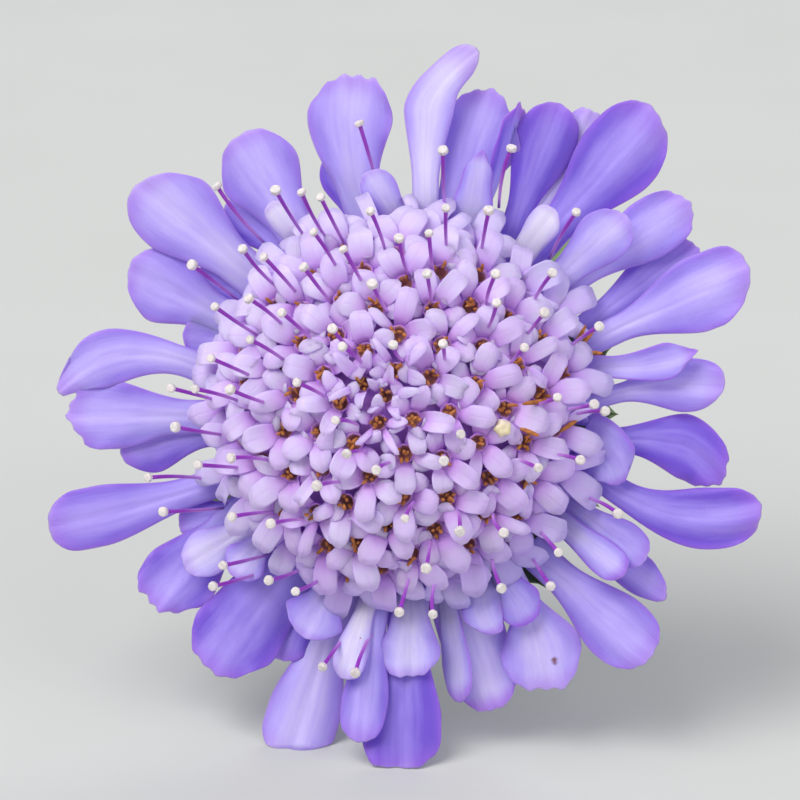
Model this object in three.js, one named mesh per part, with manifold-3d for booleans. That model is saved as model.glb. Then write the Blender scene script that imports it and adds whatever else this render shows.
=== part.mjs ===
// A cut scabiosa: one domed flower head on a leafless stalk, lying on a surface with its face raised.
// Millimetres, +Z up. The face looks towards -Y and the stalk runs off towards +Y.
import * as THREE from "three";
import { mergeVertices } from "three/addons/utils/BufferGeometryUtils.js";
import Module from "manifold-3d";

// ---- Driving dimensions, in millimetres and degrees ----

const FACE_ELEVATION = 24; // how far the face looks up
const HEAD_TURN = 3.1; // how far the head is turned about its own axis
const HEAD_HEIGHT = 22.15; // middle of the ring of ray lobes above the surface
const GAP = 0.3; // clear space between one sub-part and the next
const WELD = 0.005; // edges shorter than this close up when solids are joined
const GRID = 0.001; // corners of a finished surface lie on this grid

// The dome of disc florets. Heights are along the head's own axis, from the ring's plane.
const DOME = { radius: 12.6, height: 7.6, edgeAngle: 72, crowding: 0.57, straighten: 0.35 };
const CORE = { radius: 10.8, height: 5.9, floor: -2.6, footRadius: 9.2 };
const CORE_RINGS = [0, 22, 45, 68]; // degrees above the core's edge
const DISC_FLORETS = 74;
const GOLDEN_TURN = 137.508; // degrees from one disc floret to the next
const DISC_FLORET = { radius: 1.66, middleRadius: 1.15, root: 2.3, neck: 0.4, neckHeight: -0.95 };
const COROLLA = { throat: 0.5, notch: 0.5, notchDepth: 0.3, shoulder: 19, outerLobe: 1.2 };
const STYLE = { share: 0.8, length: 3.7, middleLength: 2.2, radius: 0.24, stigma: 0.42, crown: 0.3 };
const STYLE_LEAN = { towards: new THREE.Vector3(-0.34, 0.2, 0), share: 0.42, outwards: 0.15 };

// Each ray floret has a throat at the dome's edge, a tube behind it and two to five spreading lobes.
const LOBE = { thickness: 0.7, neck: 0.58, widest: 0.66, tipWidth: 0.8, cup: 0.16, wave: 0.45, round: 0.42 };
const LOBE_ROOT = { turn: 0.5, follow: 0.35, lowest: -1, highest: 1.2 }; // how a root follows its own tip
const LOBE_ARCH = { share: 0.12, least: 0.25 };
const LARGE_LOBE = 3.2; // wider lobes get a finer mesh
const THROAT_HEIGHT = -1.5;
const TUBE = { radius: 0.75, mouth: 1.2, flatten: 0.35, sag: 1.9, bend: 2.2, sides: 4, steps: 2 };
const COLLAR = { inner: 4.5, outer: 6.0, bottom: -4.6, top: -3.1 };

// The receptacle that carries the florets, its ring of bracts, and the stalk.
const RECEPTACLE = { top: -2.95, radius: 4.2, shoulder: -4.2, waist: -6.4, waistRadius: 2.4, bottom: -8.6 };
const STALK_JOINT = 1.2; // radius of the receptacle where the stalk meets it
const BRACTS = 10;
const BRACT = { length: 9.2, width: 2.2, thickness: 0.65, root: 2.4, rootHeight: -6.0, tipHeight: -5.4 };
const STALK = { topRadius: 0.95, cutRadius: 1.15, lying: 14, sway: 2.6, sides: 10, steps: 14 };
const SUNK = 0.1; // how far the lying stalk dips into the surface, which trims it flat

// The surface of revolution that parts the dome, which is above it, from the ray florets below it,
// as [radius, height] from the axis outwards.
const SEAT = [
  [0, -2.7],
  [9.4, -2.7],
  [12.3, -0.7],
  [13.4, 0.8],
  [14.8, 1.6],
  [18, 2.3],
  [30, 3.1],
];

// A lobe's tip lies at heading degrees from the head's right hand, anticlockwise, and reach from its
// axis. bow carries its middle sideways, lift raises its tip and roll turns it about its length.
const lobe = (heading, reach, width, lift = 0, bow = 0, roll = 0) => ({
  heading,
  reach,
  width,
  lift,
  bow,
  roll,
});

const RAY_FLORETS = [
  { throat: [12.3, 82], lobes: [lobe(78.6, 25.2, 3.7, 1.0, 2.0), lobe(74, 22.8, 5.2, -0.6)] },
  {
    throat: [12.2, 101],
    lobes: [lobe(98.2, 23.7, 6.0, 0.6, 1.0), lobe(94.2, 16.7, 2.8, 1.0), lobe(106, 18.6, 3.2, -1.3)],
  },
  {
    throat: [12.6, 124],
    lobes: [lobe(121.3, 22.3, 5.9, 0.3), lobe(123.7, 16.6, 2.4, 1.0), lobe(130.5, 19.4, 3.6, -1.7)],
  },
  { throat: [12.6, 139], lobes: [lobe(139.6, 24.3, 5.9, 0.8), lobe(147, 17.6, 3.2, -1.4)] },
  { throat: [12.6, 155], lobes: [lobe(152.9, 21.8, 5.4, -0.4), lobe(161, 16.6, 3.8, -1.2)] },
  { throat: [12.4, 169], lobes: [lobe(174.8, 24.0, 3.7, 0.4, -1.8)] },
  { throat: [12.4, 184], lobes: [lobe(181.0, 23.6, 4.6, 0.1), lobe(190, 18.1, 3.8, -1.3)] },
  { throat: [12.8, 204], lobes: [lobe(199.0, 26.0, 4.1, 0.6, -0.8), lobe(217, 22.8, 5.0, -0.6)] },
  {
    throat: [12.4, 220],
    lobes: [lobe(216, 18.8, 3.4, 0.8), lobe(226, 15.9, 2.6, 1.0), lobe(207, 18, 3, -1.5)],
  },
  { throat: [12.6, 233], lobes: [lobe(234.2, 22.8, 6.2, 0.1), lobe(243.5, 19.6, 4.0, -1.3)] },
  { throat: [12.6, 249], lobes: [lobe(246.9, 17.3, 4.4, 1.1), lobe(251.8, 25.5, 5.1, -0.9)] },
  { throat: [12.6, 261], lobes: [lobe(258.6, 19.2, 2.6, 1.2), lobe(263, 23.2, 3.2, 0.4)] },
  { throat: [12.4, 272], lobes: [lobe(270.8, 25.3, 4.9, 1.55, 0, 0), lobe(271.5, 18.8, 3.9, 1.1)] },
  { throat: [12.2, 286], lobes: [lobe(280.6, 20.6, 3.0, -0.5, 0, 68), lobe(286, 22.3, 4.4, -7.2)] },
  { throat: [12.3, 298], lobes: [lobe(291, 15.6, 2.8, 1.2), lobe(301, 17.1, 2.9, 1.2)] },
  { throat: [12.8, 308], lobes: [lobe(297.4, 22.1, 5.1, 0.2, 0.6), lobe(314.8, 24.6, 4.8, 0.4)] },
  { throat: [12.6, 325], lobes: [lobe(325, 22.4, 3.1, -0.9), lobe(323.2, 19.4, 2.7, 1.3)] },
  { throat: [12.6, 333], lobes: [lobe(327.5, 19.9, 3.3, 0.4)] },
  {
    throat: [12.6, 345],
    lobes: [lobe(344.3, 25.9, 4.1, 0.6, -2.5), lobe(348.9, 23, 3.6, -0.9, 1.3), lobe(346, 17, 4.1, 1.2)],
  },
  { throat: [12.4, -1], lobes: [lobe(3.3, 22.3, 3.3, -0.2, 0.6)] },
  {
    throat: [12.6, 17],
    lobes: [lobe(10, 20.7, 2.5, 0.9, -0.8), lobe(20.4, 25.7, 4.9, 0.8, 0.2), lobe(29.4, 23.1, 3.7, -1.4)],
  },
  { throat: [12.8, 39], lobes: [lobe(35.4, 24.3, 4.3, -0.3), lobe(40, 20.3, 3.8, 1.3)] },
  {
    throat: [12.8, 53],
    lobes: [
      lobe(48.9, 26.9, 5.8, 0.2),
      lobe(62.8, 23.7, 4.4, -0.4),
      lobe(57.4, 24.3, 2.8, -1.4),
      lobe(55.5, 17.1, 2.8, 1.3),
    ],
  },
  { throat: [12.4, 67], lobes: [lobe(68.6, 22.6, 2.9, -0.2, 0, 66), lobe(71.8, 18.5, 3.1, 0.9)] },
];

const COLOURS = {
  stalk: { color: 0x74925a, roughness: 0.7, metalness: 0 },
  involucre: { color: 0x6f9156, roughness: 0.75, metalness: 0 },
  rays: { color: 0xae9bf0, roughness: 0.6, metalness: 0 },
  disc: { color: 0xd6c7ee, roughness: 0.65, metalness: 0 },
};

// ---- Solids ----

const wasm = await Module();
wasm.setup();

function radians(degrees) {
  return THREE.MathUtils.degToRad(degrees);
}

// A point of the head's frame at a radius and heading about its axis.
function around(radius, heading, height) {
  return new THREE.Vector3(radius * Math.cos(radians(heading)), radius * Math.sin(radians(heading)), height);
}

// The same random numbers each time, from 0 to 1.
function seededRandom(seed) {
  let state = seed;
  return () => {
    state = (Math.imul(state, 1664525) + 1013904223) >>> 0;
    return state / 2 ** 32;
  };
}

// Moves each vertex of a geometry by a formula of where it was.
function reshape(geometry, move) {
  const positions = geometry.attributes.position;
  const point = new THREE.Vector3();
  for (let i = 0; i < positions.count; i += 1) {
    move(point.fromBufferAttribute(positions, i));
    positions.setXYZ(i, point.x, point.y, point.z);
  }
  return geometry;
}

// A solid from a closed geometry, with its shared vertices merged and its empty triangles dropped.
function solid(geometry) {
  const bare = geometry.clone();
  bare.deleteAttribute("normal");
  bare.deleteAttribute("uv");
  const merged = mergeVertices(bare, 1e-4);
  const corners = merged.index.array;
  const kept = [];
  for (let i = 0; i < corners.length; i += 3) {
    const [a, b, c] = corners.slice(i, i + 3);
    if (a !== b && b !== c && c !== a) kept.push(a, b, c);
  }
  const vertProperties = Float32Array.from(merged.attributes.position.array);
  const triVerts = Uint32Array.from(kept);
  return new wasm.Manifold(new wasm.Mesh({ numProp: 3, vertProperties, triVerts, tolerance: WELD }));
}

function join(solids) {
  return solids.reduce((whole, piece) => whole.add(piece));
}

// The outside of a body alone: pockets closed off between its pieces are filled, and crumbs that a
// cut leaves are dropped.
function largestShell(body) {
  return body.decompose().reduce((best, shell) => (shell.volume() > best.volume() ? shell : best));
}

// A body's surface with its corners on a fine grid. Slivers that the grid closes are dropped, and so
// are pairs of triangles left back to back with nothing between them.
function tidySurface(body) {
  const { vertProperties, triVerts } = body.getMesh();
  const corners = new THREE.BufferGeometry();
  const snapped = vertProperties.map((value) => Math.round(value / GRID) * GRID);
  corners.setAttribute("position", new THREE.BufferAttribute(snapped, 3));
  corners.setIndex(new THREE.BufferAttribute(triVerts, 1));
  const merged = mergeVertices(corners, GRID / 2);
  const triangles = new Map();
  const index = merged.index.array;
  for (let i = 0; i < index.length; i += 3) {
    const triangle = index.slice(i, i + 3);
    const key = [...triangle].sort().join(" ");
    if (new Set(triangle).size < 3) continue;
    if (triangles.has(key)) triangles.delete(key);
    else triangles.set(key, triangle);
  }
  merged.setIndex([...triangles.values()].flatMap((triangle) => [...triangle]));
  merged.computeVertexNormals();
  return merged;
}

function meshOf(name, body, look) {
  const mesh = new THREE.Mesh(tidySurface(body), new THREE.MeshStandardMaterial(look));
  mesh.name = name;
  return mesh;
}

// A solid of revolution about the head's axis, from [radius, height] points.
function turned(profile, segments) {
  const points = profile.map(([radius, height]) => new THREE.Vector2(radius, height));
  return new THREE.LatheGeometry(points, segments).rotateX(Math.PI / 2);
}

// A closed blade 2 across, 1 long and 1 thick: two alike sheets of squares, joined round their rim.
function bladeGeometry(across, along) {
  const sheet = new THREE.PlaneGeometry(2, 1, across, along).translate(0, 0.5, 0.5);
  const front = [...sheet.index.array];
  const count = sheet.attributes.position.count;
  const row = across + 1;
  const rim = [];
  for (let i = 0; i < across; i += 1) rim.push(i);
  for (let j = 0; j < along; j += 1) rim.push(j * row + across);
  for (let i = across; i > 0; i -= 1) rim.push(along * row + i);
  for (let j = along; j > 0; j -= 1) rim.push(j * row);
  const index = [...front, ...front.map((corner) => corner + count).reverse()];
  rim.forEach((here, k) => {
    const next = rim[(k + 1) % rim.length];
    index.push(here, next, next + count, here, next + count, here + count);
  });
  const points = [...sheet.attributes.position.array];
  const back = points.map((value, i) => (i % 3 === 2 ? value - 1 : value));
  const blade = new THREE.BufferGeometry();
  blade.setAttribute("position", new THREE.Float32BufferAttribute([...points, ...back], 3));
  blade.setIndex(index);
  return blade;
}

// Lays a blade along a curve. half gives its half width and raise its height over the curve, both by
// the share s along it and q across it, and blunt is how far its corners draw back to round the tip.
function bladeAlong(curve, { across, along, thickness, half, raise, blunt, roll = 0 }) {
  const up = new THREE.Vector3(0, 0, 1);
  return reshape(bladeGeometry(across, along), (point) => {
    const { x: q, y: share, z: layer } = point;
    const s = share - blunt * (1 - Math.sqrt(1 - 0.96 * q * q)) * share ** 4;
    const forward = curve.getTangent(s);
    const side = new THREE.Vector3().crossVectors(forward, up).normalize();
    side.applyAxisAngle(forward, radians(roll));
    const normal = new THREE.Vector3().crossVectors(side, forward);
    const height = layer * thickness + raise(s, q);
    point.copy(curve.getPoint(s)).addScaledVector(side, q * half(share)).addScaledVector(normal, height);
  });
}

// ---- Ray florets ----

function lobeSolid(throat, { heading, reach, width, lift, bow, roll }, ripple) {
  const rootHeading = THREE.MathUtils.lerp(throat[1], heading, LOBE_ROOT.turn);
  const rise = LOBE_ROOT.follow * THREE.MathUtils.clamp(lift, LOBE_ROOT.lowest, LOBE_ROOT.highest);
  const root = around(throat[0], rootHeading, THROAT_HEIGHT + rise);
  const tip = around(reach, heading, lift);
  const run = new THREE.Vector3().subVectors(tip, root);
  const left = new THREE.Vector3(-run.y, run.x, 0).normalize();
  const middle = new THREE.Vector3().addVectors(root, tip).multiplyScalar(0.5);
  middle.addScaledVector(left, 2 * bow);
  middle.z += LOBE_ARCH.share * Math.abs(lift - THROAT_HEIGHT) + LOBE_ARCH.least;
  const curve = new THREE.QuadraticBezierCurve3(root, middle, tip);
  const large = width > LARGE_LOBE;
  const swell = (s) => LOBE.neck + (1 - LOBE.neck) * Math.sin((Math.PI / 2) * Math.min(1, s / LOBE.widest));
  const taper = (s) => 1 - (1 - LOBE.tipWidth) * Math.max(0, (s - LOBE.widest) / (1 - LOBE.widest)) ** 2;
  return solid(
    bladeAlong(curve, {
      across: large ? 3 : 2,
      along: large ? 4 : 3,
      thickness: LOBE.thickness,
      half: (s) => (width / 2) * swell(s) * taper(s),
      raise: (s, q) =>
        -LOBE.cup * width * 0.5 * q * q * (1 - s) + LOBE.wave * q * q * Math.sin(ripple + 7 * s + 2 * q) * s,
      blunt: Math.min(0.5, (LOBE.round * width) / run.length()),
      roll,
    }),
  );
}

// A floret's tube runs out from the collar round the receptacle and widens to its throat.
function tubeSolid([radius, heading]) {
  const start = around(COLLAR.outer - 0.6, heading, (COLLAR.bottom + COLLAR.top) / 2);
  const end = around(radius + 0.3, heading, THROAT_HEIGHT + 0.1);
  const bend = around(radius - TUBE.bend, heading, THROAT_HEIGHT - TUBE.sag);
  const curve = new THREE.QuadraticBezierCurve3(start, bend, end);
  const up = new THREE.Vector3(0, 0, 1);
  const tube = new THREE.CylinderGeometry(1, 1, 1, TUBE.sides, TUBE.steps);
  return solid(
    reshape(tube, (point) => {
      const s = point.y + 0.5;
      const forward = curve.getTangent(s);
      const side = new THREE.Vector3().crossVectors(forward, up).normalize();
      const normal = new THREE.Vector3().crossVectors(side, forward);
      const width = TUBE.radius + (TUBE.mouth - TUBE.radius) * s * s;
      const depth = TUBE.radius * (1 - TUBE.flatten * s);
      const { x, z } = point;
      point.copy(curve.getPoint(s)).addScaledVector(side, x * width).addScaledVector(normal, z * depth);
    }),
  );
}

function rayFlorets() {
  const random = seededRandom(21);
  const collar = turned(
    [
      [COLLAR.inner, COLLAR.bottom],
      [COLLAR.outer, COLLAR.bottom],
      [COLLAR.outer, COLLAR.top],
      [COLLAR.inner, COLLAR.top],
      [COLLAR.inner, COLLAR.bottom],
    ],
    16,
  );
  const pieces = [solid(collar)];
  for (const { throat, lobes } of RAY_FLORETS) {
    pieces.push(tubeSolid(throat));
    for (const each of lobes) pieces.push(lobeSolid(throat, each, 2 * Math.PI * random()));
  }
  const seat = SEAT.map(([radius, height]) => [radius + GAP * 0.7, height - GAP]);
  seat[0][0] = 0;
  return join(pieces).subtract(aboveSeat(seat));
}

// All the room above a seat profile.
function aboveSeat(profile) {
  const [lastRadius] = profile[profile.length - 1];
  const ceiling = [
    [lastRadius, 20],
    [0, 20],
  ];
  return solid(turned([...profile, ...ceiling], 24));
}

// ---- Disc florets, with their styles ----

// Where a disc floret sits, by its share of the way from the middle of the dome to its edge.
function discPlace(share, turn) {
  const polar = radians(DOME.edgeAngle) * share ** DOME.crowding;
  const out = around(1, turn, 0);
  const throat = out.clone().multiplyScalar(DOME.radius * Math.sin(polar));
  throat.z = DOME.height * Math.cos(polar);
  const normal = out.clone().multiplyScalar(Math.sin(polar) / DOME.radius);
  normal.z = Math.cos(polar) / DOME.height;
  normal.normalize().lerp(new THREE.Vector3(0, 0, 1), DOME.straighten).normalize();
  const outward = out.addScaledVector(normal, -out.dot(normal)).normalize();
  const aside = new THREE.Vector3().crossVectors(normal, outward);
  return new THREE.Matrix4().makeBasis(outward, aside, normal).setPosition(throat);
}

// A disc floret, root first: a five-sided neck, a corolla with five square-ended lobes about a sunk
// throat and, where it has one, a style that stands out of the throat, leans and carries a stigma. Each
// ring of the turned blank is gathered into as many points as its part needs.
function discFloretGeometry(radius, styleLength, lean) {
  const { root, neck, neckHeight } = DISC_FLORET;
  const throat = -COROLLA.throat * radius;
  const rings = [
    { points: 1, radius: 0, height: -root },
    { points: 5, radius: neck, height: neckHeight },
    { points: 15, rim: true },
  ];
  if (styleLength > 0) {
    rings.push(
      { points: 3, radius: STYLE.radius, height: throat },
      { points: 3, radius: STYLE.radius, height: styleLength - STYLE.crown },
      { points: 5, radius: STYLE.stigma, height: styleLength },
      { points: 1, radius: 0, height: styleLength + STYLE.crown },
    );
  } else {
    rings.push({ points: 1, radius: 0, height: throat });
  }
  const blank = turned(
    rings.map(({ points }, level) => [points > 1 ? 1 : 0, level]),
    15,
  );
  return reshape(blank, (point) => {
    const ring = rings[Math.round(point.z)];
    const turn = THREE.MathUtils.radToDeg(Math.atan2(point.y, point.x));
    if (ring.rim) {
      point.copy(corollaRim(radius, Math.round(turn / 24)));
      return;
    }
    const step = 360 / ring.points;
    point.copy(around(ring.radius, step * Math.round(turn / step), ring.height));
    const rise = Math.max(0, ring.height) / Math.max(1, styleLength);
    point.addScaledVector(lean, styleLength * rise * rise);
  });
}

// One of the fifteen points of a corolla's rim: three to a lobe, a low notch and two shoulders.
function corollaRim(radius, index) {
  const nearestNotch = Math.round(index / 3);
  const offset = index - 3 * nearestNotch;
  if (offset === 0) {
    return around(radius * COROLLA.notch, 72 * nearestNotch, -COROLLA.notchDepth * radius);
  }
  const middle = 72 * nearestNotch + 36 * offset;
  const outer = 1 + (COROLLA.outerLobe - 1) * Math.max(0, Math.cos(radians(middle))) ** 2;
  return around(radius * outer, middle - offset * COROLLA.shoulder, 0);
}

function discFlorets() {
  const random = seededRandom(17);
  const core = turned(
    [
      [0, CORE.floor],
      [CORE.footRadius, CORE.floor],
      ...CORE_RINGS.map((angle) => [
        CORE.radius * Math.cos(radians(angle)),
        CORE.height * Math.sin(radians(angle)),
      ]),
      [0, CORE.height],
    ],
    18,
  );
  const pieces = [solid(core)];
  for (let i = 0; i < DISC_FLORETS; i += 1) {
    const share = (i + 0.5) / DISC_FLORETS;
    const place = discPlace(share, i * GOLDEN_TURN);
    const open = Math.min(1, 0.2 + 1.3 * Math.sqrt(share));
    const radius = THREE.MathUtils.lerp(DISC_FLORET.middleRadius, DISC_FLORET.radius, open);
    const hasStyle = random() < STYLE.share && share > 0.04;
    const longest = THREE.MathUtils.lerp(STYLE.middleLength, STYLE.length, open);
    const styleLength = hasStyle ? longest * (0.85 + 0.3 * random()) : 0;
    const twist = radians(30 * random() - 15);
    place.multiply(new THREE.Matrix4().makeRotationZ(twist));
    const lean = STYLE_LEAN.towards.clone().transformDirection(place.clone().invert());
    lean.multiplyScalar(STYLE_LEAN.share);
    lean.x += STYLE_LEAN.outwards;
    lean.z = 0;
    const size = radius * (0.94 + 0.12 * random());
    pieces.push(solid(discFloretGeometry(size, styleLength, lean).applyMatrix4(place)));
  }
  return join(pieces).intersect(aboveSeat(SEAT));
}

// ---- Receptacle with its bracts ----

function involucre() {
  const body = turned(
    [
      [0, RECEPTACLE.bottom],
      [STALK_JOINT, RECEPTACLE.bottom],
      [RECEPTACLE.waistRadius, RECEPTACLE.waist],
      [RECEPTACLE.radius, RECEPTACLE.shoulder],
      [RECEPTACLE.radius, RECEPTACLE.top],
      [0, RECEPTACLE.top],
    ],
    20,
  );
  const pieces = [solid(body)];
  for (let i = 0; i < BRACTS; i += 1) {
    const heading = (360 / BRACTS) * i + 9 * Math.sin(4 * i);
    const length = BRACT.length * (0.9 + 0.14 * Math.cos(3 * i));
    const curve = new THREE.QuadraticBezierCurve3(
      around(BRACT.root, heading, BRACT.rootHeight),
      around(BRACT.root + length / 2, heading, BRACT.rootHeight - 0.9 - 0.4 * Math.sin(2 * i)),
      around(BRACT.root + length, heading + 3 * Math.sin(5 * i), BRACT.tipHeight - 0.8 * Math.cos(2 * i)),
    );
    const blade = bladeAlong(curve, {
      across: 2,
      along: 3,
      thickness: BRACT.thickness,
      half: (s) => (BRACT.width / 2) * (0.5 + 1.5 * s) * (1 - s) ** 0.7 + 0.2,
      raise: (s, q) => 0.3 * q * q,
      blunt: 0,
    });
    pieces.push(solid(blade));
  }
  return join(pieces);
}

// ---- Stalk ----

// From under the receptacle the stalk leaves along the head's axis, and bends down until it lies
// along the surface. Its curve is in the standing frame.
function stalkCurve(start, axis) {
  const slope = axis.z / axis.y;
  const height = STALK.cutRadius - SUNK;
  const landing = (-2 * (start.z - height)) / slope;
  const touch = new THREE.Vector3(STALK.sway / 2, start.y + landing, height);
  const corner = new THREE.Vector3(start.x, start.y + landing / 2, height);
  const path = new THREE.CurvePath();
  path.add(new THREE.QuadraticBezierCurve3(start, corner, touch));
  const cut = touch.clone().add(new THREE.Vector3(STALK.sway / 2, STALK.lying, 0));
  path.add(new THREE.LineCurve3(touch, cut));
  return path;
}

function stalk(start, axis) {
  const curve = stalkCurve(start, axis);
  const up = new THREE.Vector3(0, 0, 1);
  const rod = new THREE.CylinderGeometry(1, 1, 1, STALK.sides, STALK.steps);
  return solid(
    reshape(rod, (point) => {
      const s = point.y + 0.5;
      const forward = curve.getTangentAt(s);
      const side = new THREE.Vector3().crossVectors(forward, up).normalize();
      const normal = new THREE.Vector3().crossVectors(side, forward);
      const radius = THREE.MathUtils.lerp(STALK.topRadius, STALK.cutRadius, s);
      const { x, z } = point;
      point.copy(curve.getPointAt(s)).addScaledVector(side, x * radius).addScaledVector(normal, z * radius);
    }),
  );
}

// ---- Assembly ----

// Turns a solid from the head's frame, with the axis along +Z, to where the head lies.
const headPlace = new THREE.Matrix4()
  .makeTranslation(0, 0, HEAD_HEIGHT)
  .multiply(new THREE.Matrix4().makeRotationX(radians(90 - FACE_ELEVATION)))
  .multiply(new THREE.Matrix4().makeRotationZ(radians(HEAD_TURN)));

const onSurface = (body) => body.transform(headPlace.toArray());

// The surface trims what would dip below it, so that lobe tips and stalk end stand on small flats.
const below = solid(new THREE.BoxGeometry(200, 400, 20).translate(0, 0, -10));

const axis = new THREE.Vector3(0, 0, -1).transformDirection(headPlace);
const stalkStart = new THREE.Vector3(0, 0, RECEPTACLE.bottom - GAP).applyMatrix4(headPlace);

const flower = new THREE.Group();
flower.add(
  meshOf("stem", stalk(stalkStart, axis).subtract(below), COLOURS.stalk),
  meshOf("involucre", onSurface(involucre()), COLOURS.involucre),
  meshOf("ray_florets", largestShell(onSurface(rayFlorets()).subtract(below)), COLOURS.rays),
  meshOf("disc_florets", largestShell(onSurface(discFlorets())), COLOURS.disc),
);

// The origin is at the middle of the bottom of the whole flower's box.
const box = new THREE.Box3().setFromObject(flower);
flower.position.set(-(box.min.x + box.max.x) / 2, -(box.min.y + box.max.y) / 2, -box.min.z);

export default flower;
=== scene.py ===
"""A cut scabiosa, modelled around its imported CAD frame: petals, disc florets, styles and stalk."""

import math
import random

import bpy
from mathutils import Matrix, Vector, noise


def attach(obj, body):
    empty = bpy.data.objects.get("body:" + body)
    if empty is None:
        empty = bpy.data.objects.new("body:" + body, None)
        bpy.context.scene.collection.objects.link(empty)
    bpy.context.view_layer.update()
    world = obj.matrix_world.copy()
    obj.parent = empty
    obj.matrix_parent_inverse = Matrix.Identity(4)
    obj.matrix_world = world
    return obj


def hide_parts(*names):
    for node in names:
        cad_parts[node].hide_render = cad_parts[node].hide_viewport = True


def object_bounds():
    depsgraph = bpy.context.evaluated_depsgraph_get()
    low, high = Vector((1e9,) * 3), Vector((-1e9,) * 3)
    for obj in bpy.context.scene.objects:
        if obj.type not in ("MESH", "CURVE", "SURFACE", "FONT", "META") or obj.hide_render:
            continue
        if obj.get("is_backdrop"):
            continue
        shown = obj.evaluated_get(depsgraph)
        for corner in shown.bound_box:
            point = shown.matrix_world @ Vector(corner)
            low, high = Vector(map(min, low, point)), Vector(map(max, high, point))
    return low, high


bl_info = {
    "name": "Scabiosa Flower",
    "version": (1, 0, 0),
    "blender": (4, 5, 0),
    "location": "3D View > Sidebar > Scabiosa",
    "description": "Models a cut scabiosa head on its stalk around a CAD frame",
    "category": "Object",
}

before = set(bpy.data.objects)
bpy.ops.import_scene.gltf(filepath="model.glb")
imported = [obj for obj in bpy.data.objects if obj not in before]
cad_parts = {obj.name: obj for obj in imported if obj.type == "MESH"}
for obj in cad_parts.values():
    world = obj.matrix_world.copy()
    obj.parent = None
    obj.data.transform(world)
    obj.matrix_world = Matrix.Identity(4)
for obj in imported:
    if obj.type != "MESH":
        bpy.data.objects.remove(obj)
CAD_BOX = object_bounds()

# ---- Where the head lies. Lengths are in millimetres unless a name says metres ----

METRES = 0.001
FACE_ELEVATION = 24.0  # how far the face looks up, in degrees
HEAD_TURN = 3.1  # how far the head is turned about its own axis
HEAD_MIDDLE = Vector((-0.5405, -44.0875, 22.15))  # middle of the ring of petals
HEAD = (
    Matrix.Scale(METRES, 4)
    @ Matrix.Translation(HEAD_MIDDLE)
    @ Matrix.Rotation(math.radians(90 - FACE_ELEVATION), 4, "X")
    @ Matrix.Rotation(math.radians(HEAD_TURN), 4, "Z")
)
LYING = Matrix.Scale(METRES, 4)
UP = Vector((0, 0, 1))
AHEAD = Vector((0, 1, 0))

# ---- Where the camera stands ----

CAMERA = {"azimuth": 8.0, "elevation": 21.0, "distance": 300.0, "lens": 195.0, "sensor": 36.0}
IMAGE_WIDTH = 800
PIXELS_PER_MM = 14.5  # at the middle of the head
MIDDLE_PIXEL = (403, 407)
SIGHT_ROUNDS = 8  # in which a point is brought under the pixel it shows at

# ---- The head's own sizes ----

DOME = {"radius": 12.6, "height": 7.6, "edge_angle": 74, "crowding": 0.62, "straighten": 0.35}
DOME_MIDDLE = Vector((-0.9, 0.35, 0))  # the dome stands a little to one side of the ring
DISC_FLORETS = 88
# A floret's lobes from its outer side round: heading in degrees, share of full length, tip height.
FLORET_LOBES = [
    (0, 1.0, 0.42), (70, 0.9, 0.32), (-70, 0.84, 0.04), (140, 0.68, 0.1), (-138, 0.62, -0.12),
]
LOBE_START = 0.48  # from a disc floret's middle
# A disc floret's funnel, from its foot to its mouth and down inside: radius, height, brownness,
# which is partly painted shade.
FUNNEL_RINGS = [
    (0.3, -2.5, 0.1), (0.36, -1.6, 0.1), (0.5, -0.8, 0.1), (0.66, -0.3, 0.1),
    (0.6, -0.2, 0.3), (0.42, -0.5, 0.6), (0.26, -1.0, 1.0),
]
# Between which figures a disc floret's lobes vary: degrees, shares of their size and millimetres.
DISC_LOBE = {
    "turn": (-9, 9), "length": (0.88, 1.14), "width": (0.86, 1.12), "rise": (-0.08, 0.12),
    "thick": (0.1, 0.15), "cup": (0.08, 0.26), "crease": (0.0, 0.06), "lean": (-14, 14),
}
ZONE_ENDS = {"inner": 0.2, "middle": 0.6, "outer": 1.0}  # by share of the florets
SHADED_HEADING = -50  # the dome's side away from the light, in degrees
GOLDEN_TURN = 137.508
STYLE_SHELL = {"radius": 19.6, "height": 10.6, "base": 0.6}  # where the stigmas lie over the dome
# Where a style starts, from where it ends: nearer the middle, a little to the right and lower, and
# lower still on the left side.
STYLE_PULL = {"share": 0.79, "right": 0.7, "down": 0.35, "left_down": 0.5, "left_share": 0.06}
# How deep a style's root is sunk in the dome, how far it bends up and aside, how thick its root is
# and how much thicker it grows.
STYLE = {"sunk": 0.7, "bulge": 0.9, "spread": 0.3, "root": 0.8, "swell": 0.35}
# A stigma's measures as shares of its half width.
STIGMA = {"depth": 1.1, "bevel": 0.28, "inset": 0.3, "rough": 0.12, "drop": 0.1}
LEFT_SIDE = {"starts": 380, "whole": 280}  # in pixels across the camera's view
THROAT_HEIGHT = -1.5
LOBE_OUTLINE = {"neck": 0.5, "claw": 0.24, "widest": 0.77, "tip": 0.93, "round": 0.54}
LOBE_CUP = 0.16
# How far the surface of a ray lobe 5 mm wide waves, in millimetres, and how far its end and its
# sides do, as shares of its length and width.
LOBE_RELIEF = {"ruffle": 0.2, "frill": 0.35, "swell": 0.22, "crease": 0.1, "pleat": 0.24}
LOBE_END = {"crenate": 0.016, "crinkle": 0.011, "notch": 0.045, "uneven": 0.05}
# A hooked lobe's bend: where it starts, and how it turns and narrows the lobe for each millimetre.
HOOK = {"starts": 0.64, "turn": 0.3, "narrows": 0.1, "sharpens": 0.07}
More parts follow.
